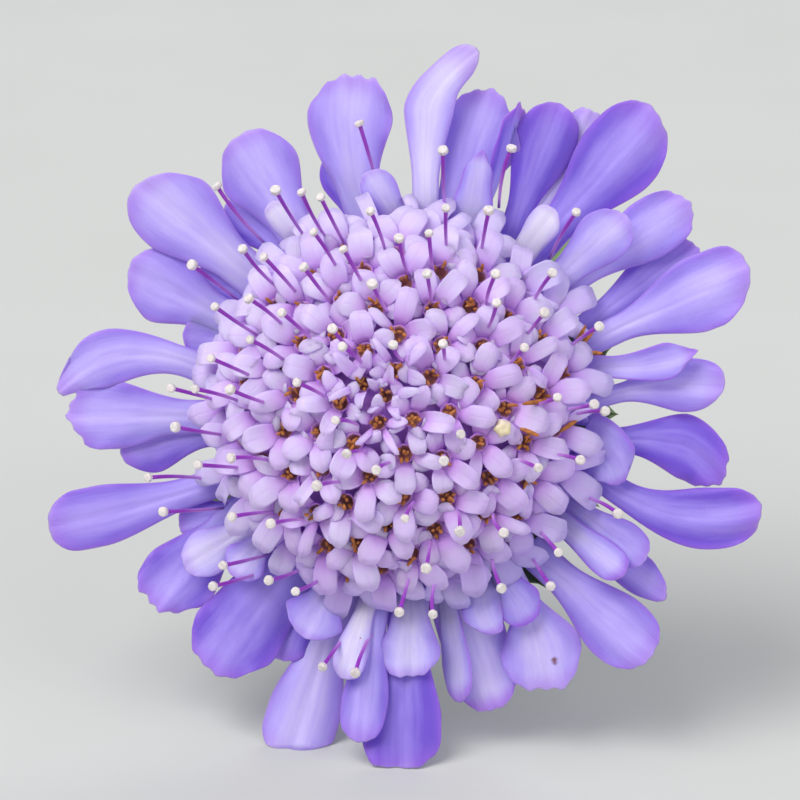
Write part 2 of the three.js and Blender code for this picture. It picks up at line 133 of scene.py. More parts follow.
# A lobe wider than this is shaped from a finer sheet. A sheet has so many faces across and along.
LARGE_LOBE = 3.0
LARGE_SHEET = (10, 14)
SMALL_SHEET = (6, 9)
COLLAR = {"radius": 5.25, "height": -3.85, "thick": 0.72, "flutes": 12, "flute_depth": 0.22}
TUBE = {"starts": 5.4, "radius": 0.62, "mouth": 1.15, "sag": 1.9, "bend": 2.2, "wall": 0.22}
# The receptacle from its joint with the stalk up, as radius and height.
RECEPTACLE = [(1.1, -8.6), (1.5, -7.8), (2.35, -6.5), (3.5, -5.0), (4.1, -4.0), (4.15, -3.0)]
BRACTS = 10
BRACT = {"length": 9.2, "root": 2.4, "root_height": -6.0, "tip_height": -5.4}
INNER_BRACT = {"root": 3.8, "root_height": -4.6, "belly": 9.0, "belly_height": -5.5}
INNER_BRACT_TIP = {"reach": 15.4, "height": -3.3}
# A bract's leaf: how it widens from its foot and tapers, and how it is cupped, keeled and waved.
BRACT_LEAF = {
    "width": 2.2, "foot": 0.5, "swell": 1.5, "taper": 0.7, "edge": 0.08,
    "thick": 0.34, "cup": 0.3, "keel": 0.16, "wave": 0.1, "waves": 9,
}
INNER_BRACT_LEAF = {
    "width": 6.2, "foot": 0.34, "swell": 1.3, "taper": 0.5, "edge": 0.06,
    "thick": 0.26, "cup": 0.7, "keel": 0.3, "wave": 0.16, "waves": 7,
}
CLOSED_FLORET = {"pixel": (503, 428), "above": 0.35, "width": 1.35, "height": 1.1}
BED = {
    "radius": 11.0, "height": 6.2, "foot": -2.5, "lilac_below": 2.6,
    "flutes": 24, "flute_depth": 0.22,
}
STALK = {"top": 0.95, "cut": 1.12, "lying": 14, "sway": 2.6, "gap": 0.3, "into_head": 1.1}
STALK_RIBS = {"count": 10, "depth": 0.035, "uneven": 0.03, "rings": 72}
# The stalk's ends: shares of their half width, and the pith's dent as a share of the length.
STALK_END = {"rim": 0.12, "ring": 0.35, "pith": 0.3, "dent": 0.004}
HAIRS = {"stalk": 420, "each bract": 34, "receptacle": 150}
HAIR = {"thickness": 0.07, "tilt": 0.35}
ANTHER_THICKNESS = 0.26
# How many anthers show in a floret of the dome's middle and of its edge.
ANTHER_COUNTS = {"middle": (5, 6, 7, 8), "edge": (1, 2, 4, 5)}
STAMEN = {"thickness": 0.34, "root": 0.6, "tip": 1.5}  # its ends' heights above the dome
SOFT_REST = 0.4 * METRES  # how gently a piece bends as it comes to lie on the surface
SEEDS = {"stalk": 4, "bracts": 9, "rays": 21, "disc": 33, "anthers": 52, "styles": 77}

# ---- The studio's own settings ----

# Each light's place right of, above and behind the head in metres, its size, power and colour.
LIGHTS = {
    "key light": ((-0.42, 0.55, 0.5), 0.7, 6.4, (1.0, 0.99, 0.98)),
    "fill light": ((0.6, 0.1, 0.55), 0.8, 2.4, (0.95, 0.97, 1.0)),
    "rim light": ((0.25, 0.65, -0.45), 0.5, 1.6, (1.0, 1.0, 1.0)),
}
FLOOR = {"size": 8.0, "dark": (0.52, 0.53, 0.51), "light": (0.58, 0.585, 0.57)}
SKY = {"colour": (0.93, 0.95, 1.0, 1.0), "strength": 0.48}


def lobe(heading, reach, width, lift=0.0, bow=0.0, roll=0.0, tone=0.5, **look):
    """A petal lobe: its tip's heading in degrees and reach from the axis, and how it looks."""
    place = {"heading": heading, "reach": reach, "width": width}
    pose = {"lift": lift, "bow": bow, "roll": roll}
    shape = {"neck": LOBE_OUTLINE["neck"], "tip": LOBE_OUTLINE["tip"]}
    ends = {"notch": 0.0, "slant": 0.0, "hook": 0.0}
    relief = {"cup": 1.0, "curl": 0.0, "ruffle": 0.35, "fan": 0.4}
    tint = {"tone": tone, "blush": 0.5, "speck": None}
    return {**place, **pose, **shape, **ends, **relief, **tint, **look}


# Each ray floret has a throat at the dome's edge, as (radius, heading), and its lobes.
# A lobe's tone is partly its own colour and partly painted shade: lobes lying low behind others get
# a low, deep tone.
RAY_FLORETS = [
    ((12.3, 82), [
        lobe(84.6, 25.3, 3.8, 1.0, 0.3, tone=0.74, hook=3.0, ruffle=0.1, fan=0.1),
        lobe(98, 16.5, 2.6, 1.2, tone=0.7, neck=0.7),
        lobe(73.6, 22.8, 6.0, -0.6, tone=0.46, ruffle=0.9, fan=0.7, tip=0.85, slant=-0.05),
    ]),
    ((12.2, 101), [
        lobe(98.2, 23.7, 6.0, 0.6, 1.0, tone=0.55, ruffle=1.1, notch=1.0),
        lobe(106, 18.6, 3.2, -1.3, tone=0.3),
    ]),
    ((12.6, 124), [
        lobe(121.3, 22.3, 5.9, 0.3, tone=0.52, cup=1.3),
        lobe(122.7, 16.9, 1.9, 1.3, tone=1.1, neck=0.7),
        lobe(130.5, 19.4, 3.6, -1.7, tone=0.3),
    ]),
    ((12.6, 139), [
        lobe(139.6, 24.3, 6.0, 0.8, tone=0.58, cup=1.2, ruffle=0.2, fan=0.2, slant=-0.06),
        lobe(147, 17.6, 3.2, -1.4, tone=0.25),
    ]),
    ((12.6, 155), [
        lobe(152.9, 21.8, 5.4, -0.4, tone=0.5, ruffle=0.3),
        lobe(161, 16.6, 3.8, -1.2, tone=0.35, blush=0.6),
    ]),
    ((12.4, 169), [
        lobe(175.6, 24.9, 4.2, 0.4, -2.0, tone=0.52, hook=-1.0, tip=0.45, cup=1.3, ruffle=0.2),
    ]),
    ((12.4, 184), [
        lobe(181.2, 23.6, 4.8, 0.1, tone=0.5, ruffle=1.0, tip=1.0),
        lobe(187.6, 20.4, 4.4, -1.3, tone=0.34, blush=0.5),
    ]),
    ((12.8, 204), [
        lobe(198.2, 26.2, 4.3, 0.6, 0.4, tone=0.38, cup=1.4, ruffle=0.15, fan=0.2, tip=1.0),
        lobe(218, 22.6, 5.5, -0.6, tone=0.32, fan=1.0, ruffle=1.3, notch=0.8),
    ]),
    ((12.4, 220), [
        lobe(216, 18.8, 3.4, 0.8, tone=0.8),
        lobe(225, 16.6, 3.2, 1.0, tone=0.7, blush=0.7),
        lobe(207, 18, 3, -1.5, tone=0.25),
    ]),
    ((12.6, 233), [
        lobe(233.6, 22.8, 6.4, 0.1, tone=0.26, neck=0.8, ruffle=0.8, notch=0.4),
        lobe(243.5, 19.6, 4.0, -1.3, tone=0.22),
    ]),
    ((12.6, 249), [
        lobe(246.9, 17.3, 4.5, 1.1, tone=0.58, ruffle=0.4),
        lobe(251.8, 26.0, 5.2, -0.9, tone=0.6, cup=1.4, ruffle=0.2, tip=1.0),
    ]),
    ((12.6, 261), [
        lobe(258.6, 19.2, 2.4, 2.1, tone=0.86, neck=0.6, speck=(-0.3, 0.55)),
        lobe(263.4, 23.3, 3.3, 2.1, tone=0.38, cup=1.3, ruffle=0.2),
    ]),
    ((12.4, 272), [
        lobe(270.2, 25.3, 5.5, 1.55, tone=0.17, ruffle=0.6, notch=0.3, tip=1.0),
        lobe(272.0, 18.8, 4.2, 1.1, tone=0.64, notch=0.5, neck=0.62, tip=1.0, ruffle=0.8, fan=0.7),
    ]),
    ((12.2, 286), [
        lobe(281.6, 20.8, 2.8, -0.5, 0, 40, tone=0.65, blush=0.8, neck=0.7, cup=-1.4),
        lobe(286.8, 21.9, 4.7, -1.2, tone=0.66, ruffle=0.4, neck=1.0, blush=0.8),
    ]),
    ((12.3, 298), [
        lobe(290.6, 16.9, 2.9, 1.3, tone=0.6, blush=0.8, tip=0.75, neck=1.1, hook=-0.8, ruffle=0.1),
        lobe(301.4, 17.2, 3.2, 1.5, tone=0.5, blush=1.0, curl=-1.2, neck=0.6),
    ]),
    ((12.8, 308), [
        lobe(
            297, 22.0, 5.8, 0.2, 0.6,
            tone=0.6, neck=0.3, tip=1.0, ruffle=1.0, fan=0.9, speck=(-0.3, 0.8),
        ),
        lobe(314.8, 24.6, 4.8, 0.4, tone=0.44, notch=0.5, fan=0.8),
    ]),
    ((12.6, 325), [
        lobe(324.6, 22.4, 2.8, -0.9, tone=0.4, neck=0.6, tip=0.7, slant=0.06),
        lobe(323.2, 19.4, 2.5, 1.3, tone=0.58, neck=0.7, blush=0.9),
    ]),
    ((12.6, 333), [lobe(327.5, 19.9, 3.3, 0.4, tone=0.45)]),
    ((12.6, 345), [
        lobe(343.7, 25.9, 4.3, 0.6, -2.0, tone=0.23, neck=0.45, ruffle=0.2, fan=1.3),
        lobe(350.1, 23.0, 4.7, -0.9, 1.0, tone=0.14, neck=0.4, fan=0.8, hook=1.3, ruffle=0.7),
    ]),
    ((12.4, -1), [
        lobe(3.3, 22.3, 3.8, -0.2, 0.6, tone=0.5, neck=0.36, fan=0.6, ruffle=0.1),
        lobe(
            -19.5, 15.8, 4.2, 1.2, 0.5,
            tone=0.5, neck=1.05, tip=0.6, curl=-0.8, ruffle=0.6, blush=0.8,
        ),
    ]),
    ((12.6, 17), [
        lobe(10.3, 20.8, 2.6, 0.9, -0.6, tone=0.5, neck=0.6, tip=0.3, blush=0.9, cup=-1.8),
        lobe(
            20.4, 25.7, 5.4, 0.8, 0.2,
            tone=0.46, neck=0.36, ruffle=0.3, fan=0.9, tip=1.0, slant=-0.03,
        ),
        lobe(29.4, 23.1, 3.7, -1.4, tone=0.28),
    ]),
    ((12.8, 39), [
        lobe(35.4, 24.3, 4.3, -0.3, tone=0.5, neck=0.4, ruffle=0.5, fan=0.7),
        lobe(40, 20.3, 3.8, 1.3, tone=0.6, neck=0.6, cup=1.4),
    ]),
    ((12.8, 53), [
        lobe(48.9, 26.9, 5.9, 0.2, tone=0.28, neck=0.44, ruffle=0.3, fan=0.8),
        lobe(62.8, 23.7, 4.4, -0.4, tone=0.16, neck=0.42, ruffle=0.2),
        lobe(57.4, 24.5, 3.2, -1.4, tone=0.66),
        lobe(51.8, 17.2, 2.4, 1.4, tone=1.1, neck=0.8, fan=0.2),
    ]),
    ((12.4, 67), [
        lobe(68.6, 22.6, 2.9, -0.2, 0, 66, tone=0.3, blush=1.0, ruffle=1.2),
        lobe(72.4, 18.6, 2.2, 1.1, tone=0.66, blush=0.9, neck=1.4, tip=0.35),
    ]),
]

# Where each stigma shows in the camera's 800 by 800 view, left to right and down, in pixels.
STIGMA_PIXELS = [
    (359, 122), (443, 149), (512, 147), (577, 211), (216, 185), (275, 189), (301, 191), (320, 196),
    (370, 210), (446, 207), (489, 209), (313, 231), (399, 237), (429, 232), (242, 248), (343, 248),
    (191, 264), (263, 256), (303, 266), (496, 273), (427, 273), (553, 272), (372, 283), (248, 298),
    (281, 312), (545, 312), (332, 328), (600, 326), (249, 339), (210, 358), (170, 388), (194, 389),
    (229, 389), (606, 411), (595, 404), (174, 427), (461, 434), (230, 458), (197, 465), (539, 468),
    (147, 478), (162, 512), (231, 517), (619, 514), (270, 524), (504, 533), (559, 553), (222, 566),
    (268, 581), (212, 587), (551, 587), (502, 589), (295, 592), (399, 613), (433, 615), (322, 668),
    (355, 674), (214, 306), (342, 346), (393, 344), (443, 343), (525, 347), (497, 302), (558, 397),
    (296, 382), (335, 420), (346, 454), (316, 486), (405, 519), (426, 569), (460, 532), (581, 460),
    (444, 461), (376, 470),
]

# Where long stamens show at the dome's edge, from root to tip, in the same pixels.
STAMEN_PIXELS = [
    ((572, 352), (587, 324)), ((576, 352), (595, 330)), ((578, 352), (604, 353)),
    ((560, 432), (582, 418)), ((520, 428), (540, 436)), ((548, 400), (522, 404)),
]


# ---- Sizes and colours that a user would change ----


def linear(red, green, blue):
    """A colour as a shader needs it, from its values on a screen, 0 to 255."""
    return [((channel / 255 + 0.055) / 1.055) ** 2.4 for channel in (red, green, blue)]


def length_property(name, description, default):
    """A length that the user sets, given in millimetres."""
    return bpy.props.FloatProperty(
        name=name,
        description=description,
        default=default * METRES,
        min=0.0,
        precision=5,
        subtype="DISTANCE",
        unit="LENGTH",
    )


def colour_property(name, description, red, green, blue):
    """A colour that the user picks, given as a screen shows it."""
    return bpy.props.FloatVectorProperty(
        name=name,
        description=description,
        default=linear(red, green, blue),
        subtype="COLOR",
        min=0.0,
        max=1.0,
        size=3,
    )


class ScabiosaSizes(bpy.types.PropertyGroup):
    """The sizes that give the flower its character."""

    petal_thickness: length_property("Petal thickness", "Thickness of a ray lobe", 0.17)
    petal_ruffle: bpy.props.FloatProperty(
        name="Petal ruffle",
        description="How strongly the petals' edges wave",
        default=1.0,
        min=0.0,
        max=3.0,
        subtype="FACTOR",
    )
    disc_lobe_length: length_property("Disc lobe length", "Length of a lobe of a disc floret", 2.5)
    disc_lobe_width: length_property("Disc lobe width", "Width of a lobe of a disc floret", 1.7)
    style_thickness: length_property("Style thickness", "Thickness of a style", 0.27)
    stigma_width: length_property("Stigma width", "Width of the head of a style", 0.7)
    anther_length: length_property("Anther length", "Length of a loose anther", 0.55)
    hair_length: length_property("Hair length", "Length of the hairs on the stalk and bracts", 0.5)


class ScabiosaColours(bpy.types.PropertyGroup):
    """The flower's colours."""

    # Painted shade: the deep petal colour is taken by the lobes that lie low, behind and under
    # others.
    petal_deep_shade: colour_property("Deep petal", "Petals that lie low in the head", 106, 78, 196)
    petal_middle: colour_property("Middle petal", "The usual petal colour", 176, 162, 246)
    petal_light: colour_property("Light petal", "Petals that face the light", 212, 202, 253)
    petal_pale: colour_property("Pale petal", "The palest young petals", 240, 231, 255)
    petal_blush: colour_property("Petal blush", "Purple at petal edges and folds", 146, 92, 216)
    disc_pale: colour_property("Disc lobe", "The face of a disc floret's lobe", 222, 201, 255)
    # The lobe root colour is partly the lobes' own pink and partly painted shade.
    disc_shade: colour_property("Disc lobe root", "The root and edge of a disc lobe", 214, 154, 255)
    # Partly painted shade: the throat colour is the floret's own mauve brown, darkened as the shade
    # inside its funnel.
    throat: colour_property("Throat", "Inside a disc floret", 158, 100, 96)
    style: colour_property("Style", "The styles near the stigma", 150, 52, 186)
    style_root: colour_property("Style root", "The styles near their root", 205, 150, 226)
    stigma: colour_property("Stigma", "The head of a style", 232, 224, 222)
    anther: colour_property("Anther", "The anthers", 192, 120, 60)
    bud: colour_property("Closed floret", "The one floret that is still closed", 232, 222, 168)
    green: colour_property("Green", "The bracts and the stalk", 112, 146, 82)
    green_pale: colour_property("Pale green", "Hairs, veins and the cut end", 196, 208, 158)


def settings(context):
    """The sizes and the colours as the user has them."""
    return context.scene.scabiosa_sizes, context.scene.scabiosa_colours


# ---- Making and moving pieces ----


def deselect():
    """Nothing is selected and nothing is in edit mode."""
    if bpy.context.object and bpy.context.object.mode != "OBJECT":
        bpy.ops.object.mode_set(mode="OBJECT")
    bpy.ops.object.select_all(action="DESELECT")


def select_only(*pieces):
    """These pieces alone are selected, and the first is active."""
    deselect()
    for piece in pieces:
        piece.select_set(True)
    bpy.context.view_layer.objects.active = pieces[0]


def named(piece, name):
    """A piece, with its own and its mesh's name given."""
    piece.name = name
    piece.data.name = name
    return piece


def plain(name, kind, **sizes):
    """A plain body of one of Blender's kinds, with its place in its mesh."""
    deselect()
    getattr(bpy.ops.mesh, f"primitive_{kind}_add")(**sizes)
    bpy.ops.object.transform_apply(location=True, rotation=True, scale=True)
    return named(bpy.context.object, name)


def edit_all():
    """Goes into edit mode with everything selected."""
    bpy.ops.object.mode_set(mode="EDIT")
    bpy.ops.mesh.select_all(action="SELECT")


def leave_edit():
    """Goes back to object mode."""
    bpy.ops.object.mode_set(mode="OBJECT")


def resize(piece, sizes):
    """Stretches a piece by these sizes."""
    select_only(piece)
    edit_all()
    bpy.ops.transform.resize(value=sizes)
    leave_edit()


def face_outwards():
    """In edit mode, turns every face outwards."""
    bpy.ops.mesh.select_all(action="SELECT")
    bpy.ops.mesh.normals_make_consistent(inside=False)


def drawn_up(name, sides, rings):
    """A round body drawn up from its foot, through rings of a radius and a height each."""
    radius, height = rings[0]
    foot = {"radius": radius, "location": (0, 0, height), "fill_type": "NGON"}
    body = plain(name, "circle", vertices=sides, **foot)
    edit_all()
    for (radius, height), (next_radius, next_height) in zip(rings, rings[1:]):
        rise = {"value": (0, 0, next_height - height)}
        bpy.ops.mesh.extrude_region_move(TRANSFORM_OT_translate=rise)
        grow = next_radius / radius
        bpy.ops.transform.resize(value=(grow, grow, 1))
    face_outwards()
    leave_edit()
    return body


def rod(name, sides, parts, end_fill, axis):
    """In edit mode, a round rod 2 across, from 0 to 1 along +Y or +Z, cut into equal parts."""
    ends = {"end_fill_type": end_fill, "rotation": (axis.y * math.pi / 2, 0, 0)}
    piece = plain(name, "cylinder", vertices=sides, radius=1, depth=1, **ends)
    edit_all()
    bpy.ops.transform.translate(value=axis / 2)
    for cut in range(1, parts):
        bpy.ops.mesh.select_all(action="SELECT")
        bpy.ops.mesh.bisect(plane_co=axis * (cut / parts), plane_no=axis)
    return piece


def select_faces(piece, chosen):
    """In edit mode, selects only the faces whose middle the test chooses."""
    bpy.ops.object.mode_set(mode="EDIT")
    bpy.ops.mesh.select_mode(type="FACE")
    bpy.ops.mesh.select_all(action="DESELECT")
    bpy.ops.object.mode_set(mode="OBJECT")
    for face in piece.data.polygons:
        face.select = chosen(face.center)
    bpy.ops.object.mode_set(mode="EDIT")


def finish_modifiers(piece):
    """Applies every modifier of a piece in order."""
    select_only(piece)
    for modifier in list(piece.modifiers):
        bpy.ops.object.modifier_apply(modifier=modifier.name)
    return piece


def thicken(piece, thickness, side=0.0):
    """Gives a sheet a wall, on both sides of where it lies or, with a side of -1, on its inside."""
    wall = piece.modifiers.new("Wall", "SOLIDIFY")
    wall.thickness = thickness
    wall.offset = side


def smooth_over(piece):
    """Subdivides a piece once into a smooth surface."""
    surface = piece.modifiers.new("Surface", "SUBSURF")
    surface.levels = 1
    surface.render_levels = 1


def blank(name, across, along, smooth=False):
    """A sheet 2 across, 1 long and 1 thick, to be shaped, with that many faces across and along."""
    faces = {"x_subdivisions": across, "y_subdivisions": along}
    piece = plain(name, "grid", size=1, location=(0, 0.5, 0), **faces)
    resize(piece, (2, 1, 1))
    thicken(piece, 1.0)
    if smooth:
        smooth_over(piece)
    return finish_modifiers(piece)


def copy_of(model, name, place=None):
    """A copy of a piece with a mesh of its own, moved to its place."""
    piece = model.copy()
    piece.data = model.data.copy()
    if place is not None:
        piece.data.transform(place)
    bpy.context.scene.collection.objects.link(piece)
    return named(piece, name)


def reshape(piece, move):
    """Moves every vertex of a piece by a formula of where it was."""
    for vertex in piece.data.vertices:
        vertex.co = move(vertex.co.copy())


def paint_by(piece, name, value_at):
    """Gives a piece's surface a value that its material reads, by place."""
    layer = piece.data.attributes.new(name, "FLOAT", "POINT")
    layer.data.foreach_set("value", [value_at(vertex.co) for vertex in piece.data.vertices])


def paint(piece, **values):
    """Gives a piece's surface values that its material reads, the same all over."""
    for name, value in values.items():
        paint_by(piece, name, lambda co: value)


def rest_on_surface(piece):
    """Bends what would dip below the surface so that it lies on it."""

    def lift(co):
        if co.z < SOFT_REST:
            co.z = SOFT_REST * math.exp((co.z - SOFT_REST) / SOFT_REST)
        return co

    reshape(piece, lift)


def join(pieces, name):
    """Joins pieces into one."""
    select_only(*pieces)
    if len(pieces) > 1:
        bpy.ops.object.join()
    return named(bpy.context.object, name)


def discard(*models):
    """Removes models that were only there to be copied."""
    select_only(*models)
    bpy.ops.object.delete()


def hand_over(piece, place, material, slot, *nodes):
    """Places a finished piece in its mesh, gives it its material and hides the CAD parts that it
    stands for.
    """
    piece.data.transform(place)
    rest_on_surface(piece)
    piece.data.materials.clear()
    piece.data.materials.append(material)
    select_only(piece)
    bpy.ops.object.shade_smooth()
    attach(piece, "root")
    if nodes:
        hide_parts(*nodes)


# ---- Lines and places ----


def around(radius, heading, height):
    """A point about the head's axis."""
    turn = math.radians(heading)
    return Vector((radius * math.cos(turn), radius * math.sin(turn), height))


def turn_of(co):
    """How far round the axis a point lies, in radians."""
    return math.atan2(co.y, co.x)


def bent_line(start, corner, end):
    """A curve from start to end, drawn towards its corner, as a function of the share along it."""

    def at(share):
        rest = 1 - share
        point = start * rest * rest + corner * 2 * rest * share + end * share * share
        forward = (corner - start) * rest + (end - corner) * share
        return point, forward.normalized()

    return at


def directions(forward, roll=0.0):
    """The sideways and upward directions of something that runs forward."""
    side = forward.cross(UP).normalized()
    if roll:
        side = Matrix.Rotation(math.radians(roll), 3, forward) @ side
    return side, side.cross(forward)


def lay_along(piece, line, roll=0.0):
    """Lays a piece that runs from 0 to 1 along +Y on a line, its X sideways and its Z upwards."""

    def move(co):
        point, forward = line(co.y)
        side, normal = directions(forward, roll)
        return point + side * co.x + normal * co.z

    reshape(piece, move)


def towards(direction):
    """The turn that points a piece's Z along a direction."""
    return direction.to_track_quat("Z", "Y").to_matrix().to_4x4()


def stretched(wide, long):
    """The stretch that makes a piece this wide and this long along its Z."""
    return Matrix.Diagonal((wide, wide, long, 1))


def camera_directions():
    """The camera's right, up and back."""
    azimuth = math.radians(CAMERA["azimuth"])
    elevation = math.radians(CAMERA["elevation"])
    back = Vector((math.sin(azimuth), -math.cos(azimuth), math.tan(elevation))).normalized()
    right = Vector((math.cos(azimuth), math.sin(azimuth), 0))
    return right, back.cross(right), back


def seen_at(pixel, height_at):
    """The point that shows at a pixel and lies at a height given by its radius, from the head."""
    right, upward, back = camera_directions()
    to_head = (HEAD.to_3x3() * (1 / METRES)).transposed()
    right, upward, back = to_head @ right, to_head @ upward, to_head @ back
    across = (pixel[0] - MIDDLE_PIXEL[0]) / PIXELS_PER_MM
    above = (MIDDLE_PIXEL[1] - pixel[1]) / PIXELS_PER_MM
    point = Vector((across, above, height_at(math.hypot(across, above))))
    for _ in range(SIGHT_ROUNDS):
        nearness = 1 - point.dot(back) / CAMERA["distance"]
        miss = right * (across * nearness - point.dot(right))
        miss += upward * (above * nearness - point.dot(upward))
        point += miss
        point.z = height_at(math.hypot(point.x, point.y))
    return point


def dome_height(radius):
    """The height of the dome of throats at a radius."""
    share = min(1.0, radius / DOME["radius"])
    return DOME["height"] * math.sqrt(1 - share * share)


def on_dome(pixel, above):
    """The point that shows at a pixel and lies this far above the dome of throats."""
    return seen_at(pixel, lambda radius: dome_height(radius) + above)


def stigma_height(radius):
    """The height at which stigmas stand over the dome at a radius."""
    share = min(0.98, radius / STYLE_SHELL["radius"])
    return STYLE_SHELL["height"] * math.sqrt(1 - share * share) + STYLE_SHELL["base"]


def disc_place(share, turn):
    """Where a disc floret sits, with its X outwards and its Z along the floret."""
    polar = math.radians(DOME["edge_angle"]) * share ** DOME["crowding"]
    out = around(1, turn, 0)
    throat = out * DOME["radius"] * math.sin(polar) + UP * DOME["height"] * math.cos(polar)
    throat += DOME_MIDDLE * (1 - share)
    normal = out * (math.sin(polar) / DOME["radius"]) + UP * (math.cos(polar) / DOME["height"])
    normal = normal.normalized().lerp(UP, DOME["straighten"]).normalized()
    outward = (out - normal * out.dot(normal)).normalized()
    aside = normal.cross(outward)
    place = Matrix((outward, aside, normal)).transposed().to_4x4()
    place.translation = throat
    return place


# ---- Materials ----


def darker(colour, share):
    """A share of a colour's light."""
    return [channel * share for channel in colour]


class Skin:
    """A material in the making: its nodes work out what its principled surface is given."""

    def __init__(self, name):
        self.material = bpy.data.materials.new(name)
        self.material.use_nodes = True
        self.tree = self.material.node_tree
        self.place = self.node("ShaderNodeTexCoord").outputs["Object"]

    def give(self, socket, value):
        """Gives an input its number or colour, or links an output to it."""
        if isinstance(value, bpy.types.NodeSocket):
            self.tree.links.new(value, socket)
        else:
            socket.default_value = value

    def node(self, kind, inputs=None, **settings):
        """A node with its settings and its inputs."""
        made = self.tree.nodes.new(kind)
        for key, value in settings.items():
            setattr(made, key, value)
        for key, value in (inputs or {}).items():
            self.give(made.inputs[key], value)
        return made

    def finished(self, **values):
        """The material, with its surface's inputs given, named with _ for a space."""
        surface = self.tree.nodes["Principled BSDF"]
        for key, value in values.items():
            self.give(surface.inputs[key.replace("_", " ")], value)
        return self.material

    def uv(self):
        """Where a point lies across and along its piece."""
        return self.node("ShaderNodeUVMap", uv_map="UVMap").outputs[0]

    def read(self, name):
        """An attribute of the surface."""
        return self.node("ShaderNodeAttribute", attribute_name=name).outputs["Fac"]

    def mixed(self, factor, *colours):
        """The colour between two colours or colour outputs."""
        first, second = (
            colour if isinstance(colour, bpy.types.NodeSocket) else (*colour, 1.0)
            for colour in colours
        )
        inputs = {0: factor, 6: first, 7: second}
        return self.node("ShaderNodeMix", inputs, data_type="RGBA", clamp_factor=True).outputs[2]

    def ramp(self, value, stops):
        """A colour that runs through the given ones as a value rises, each at its own value."""
        made = self.node("ShaderNodeValToRGB", {0: value})
        elements = made.color_ramp.elements
        elements.remove(elements[1])
        elements[0].position, elements[0].color = stops[0][0], (*stops[0][1], 1)
        for position, colour in stops[1:]:
            elements.new(position).color = (*colour, 1)
        return made.outputs[0]

    def maths(self, operation, first, second=0.0, third=0.0, clamp=False):
        """A figure of numbers or outputs."""
        inputs = {0: first, 1: second, 2: third}
        return self.node("ShaderNodeMath", inputs, operation=operation, use_clamp=clamp).outputs[0]

    def times(self, first, second, clamp=False):
        """The product of two."""
        return self.maths("MULTIPLY", first, second, clamp=clamp)

    def less(self, first, second, clamp=False):
        """The first less the second."""
        return self.maths("SUBTRACT", first, second, clamp=clamp)

    def added(self, value, share, to):
        """A share of a value, added to another."""
        return self.maths("MULTIPLY_ADD", value, share, to)

    def steps(self, value, low, high):
        """A value that rises smoothly from 0 at low to 1 at high."""
        inputs = {"Value": value, "From Min": low, "From Max": high}
        return self.node("ShaderNodeMapRange", inputs, interpolation_type="SMOOTHSTEP").outputs[0]

    def grain(self, coordinates, scale, detail, stretch=(1, 1, 1)):
        """Cloudy noise from 0 to 1 on the given coordinates."""
        mapping = self.node("ShaderNodeMapping", {"Vector": coordinates, "Scale": stretch})
        inputs = {"Vector": mapping.outputs[0], "Scale": scale, "Detail": detail}
        return self.node("ShaderNodeTexNoise", inputs).outputs[0]

    def bump(self, height, strength, distance):
        """A bumped normal, with its distance in millimetres."""
        inputs = {"Height": height, "Strength": strength, "Distance": distance * METRES}
        return self.node("ShaderNodeBump", inputs).outputs[0]


def petal_skin(name, colours):
    """Silky petal tissue: its tone by lobe, in part painted shade, paler in its middle, painted
    lighter towards its root, veined, with purple edges.
    """
    skin = Skin(name)
    uv = skin.uv()
    split = skin.node("ShaderNodeSeparateXYZ", {0: uv})
    across, along = split.outputs[0], split.outputs[1]
    off_middle = skin.maths("ABSOLUTE", skin.less(across, 0.5))
    clouds = skin.grain(skin.place, 260, 2)
    heart = skin.times(skin.steps(along, 0.0, 0.5), skin.steps(off_middle, 0.47, 0.05))
    # Painted light: the lobe is made lighter towards its root, where the lobes over it shade it.
    foot = skin.less(1.0, skin.steps(along, 0.15, 0.6))
    veins = skin.grain(uv, 1.0, 3, (8, 2.4, 1))
    tone = skin.less(skin.added(clouds, 0.22, skin.read("tone")), 0.11)
    tone = skin.added(heart, 0.26, skin.less(tone, 0.27))
    tone = skin.added(foot, 0.24, tone)
    tone = skin.added(skin.less(veins, 0.5), 0.28, tone)
    tints = [colours.petal_deep_shade, colours.petal_middle, colours.petal_light, colours.petal_pale]
    colour = skin.ramp(tone, list(zip((0.0, 0.45, 0.75, 1.0), tints)))
    fine_veins = skin.steps(skin.grain(uv, 1.0, 2, (34, 3.5, 1)), 0.5, 0.75)
    vein_lines = skin.times(fine_veins, skin.steps(along, 0.3, 0.8))
    midrib = skin.less(1.0, skin.steps(off_middle, 0.0, 0.035))
    lines = skin.maths("MAXIMUM", skin.times(vein_lines, 0.4), skin.times(midrib, 0.2))
    colour = skin.mixed(skin.times(lines, 0.22), colour, colours.petal_blush)
    edge = skin.steps(off_middle, 0.36, 0.51)
    tip = skin.steps(skin.added(clouds, 0.06, along), 0.86, 1.03)
    blush = skin.times(skin.maths("MAXIMUM", edge, tip), skin.read("blush"))
    colour = skin.mixed(blush, colour, colours.petal_blush)
    speck = skin.steps(skin.read("speck"), 0.2, 0.7)
    fine = skin.grain(skin.place, 5200, 3)
    return skin.finished(
        Base_Color=skin.mixed(speck, colour, darker(colours.anther, 0.3)),
        Normal=skin.bump(skin.added(fine, 0.5, skin.less(1.0, lines)), 0.4, 0.05),
        Roughness=skin.added(fine, 0.4, 0.24),
        Specular_IOR_Level=0.32,
        Subsurface_Weight=0.4,
        Subsurface_Scale=0.9 * METRES,
        Subsurface_Radius=(0.8, 0.6, 1.2),
        Sheen_Weight=0.12,
        Sheen_Roughness=0.5,
    )


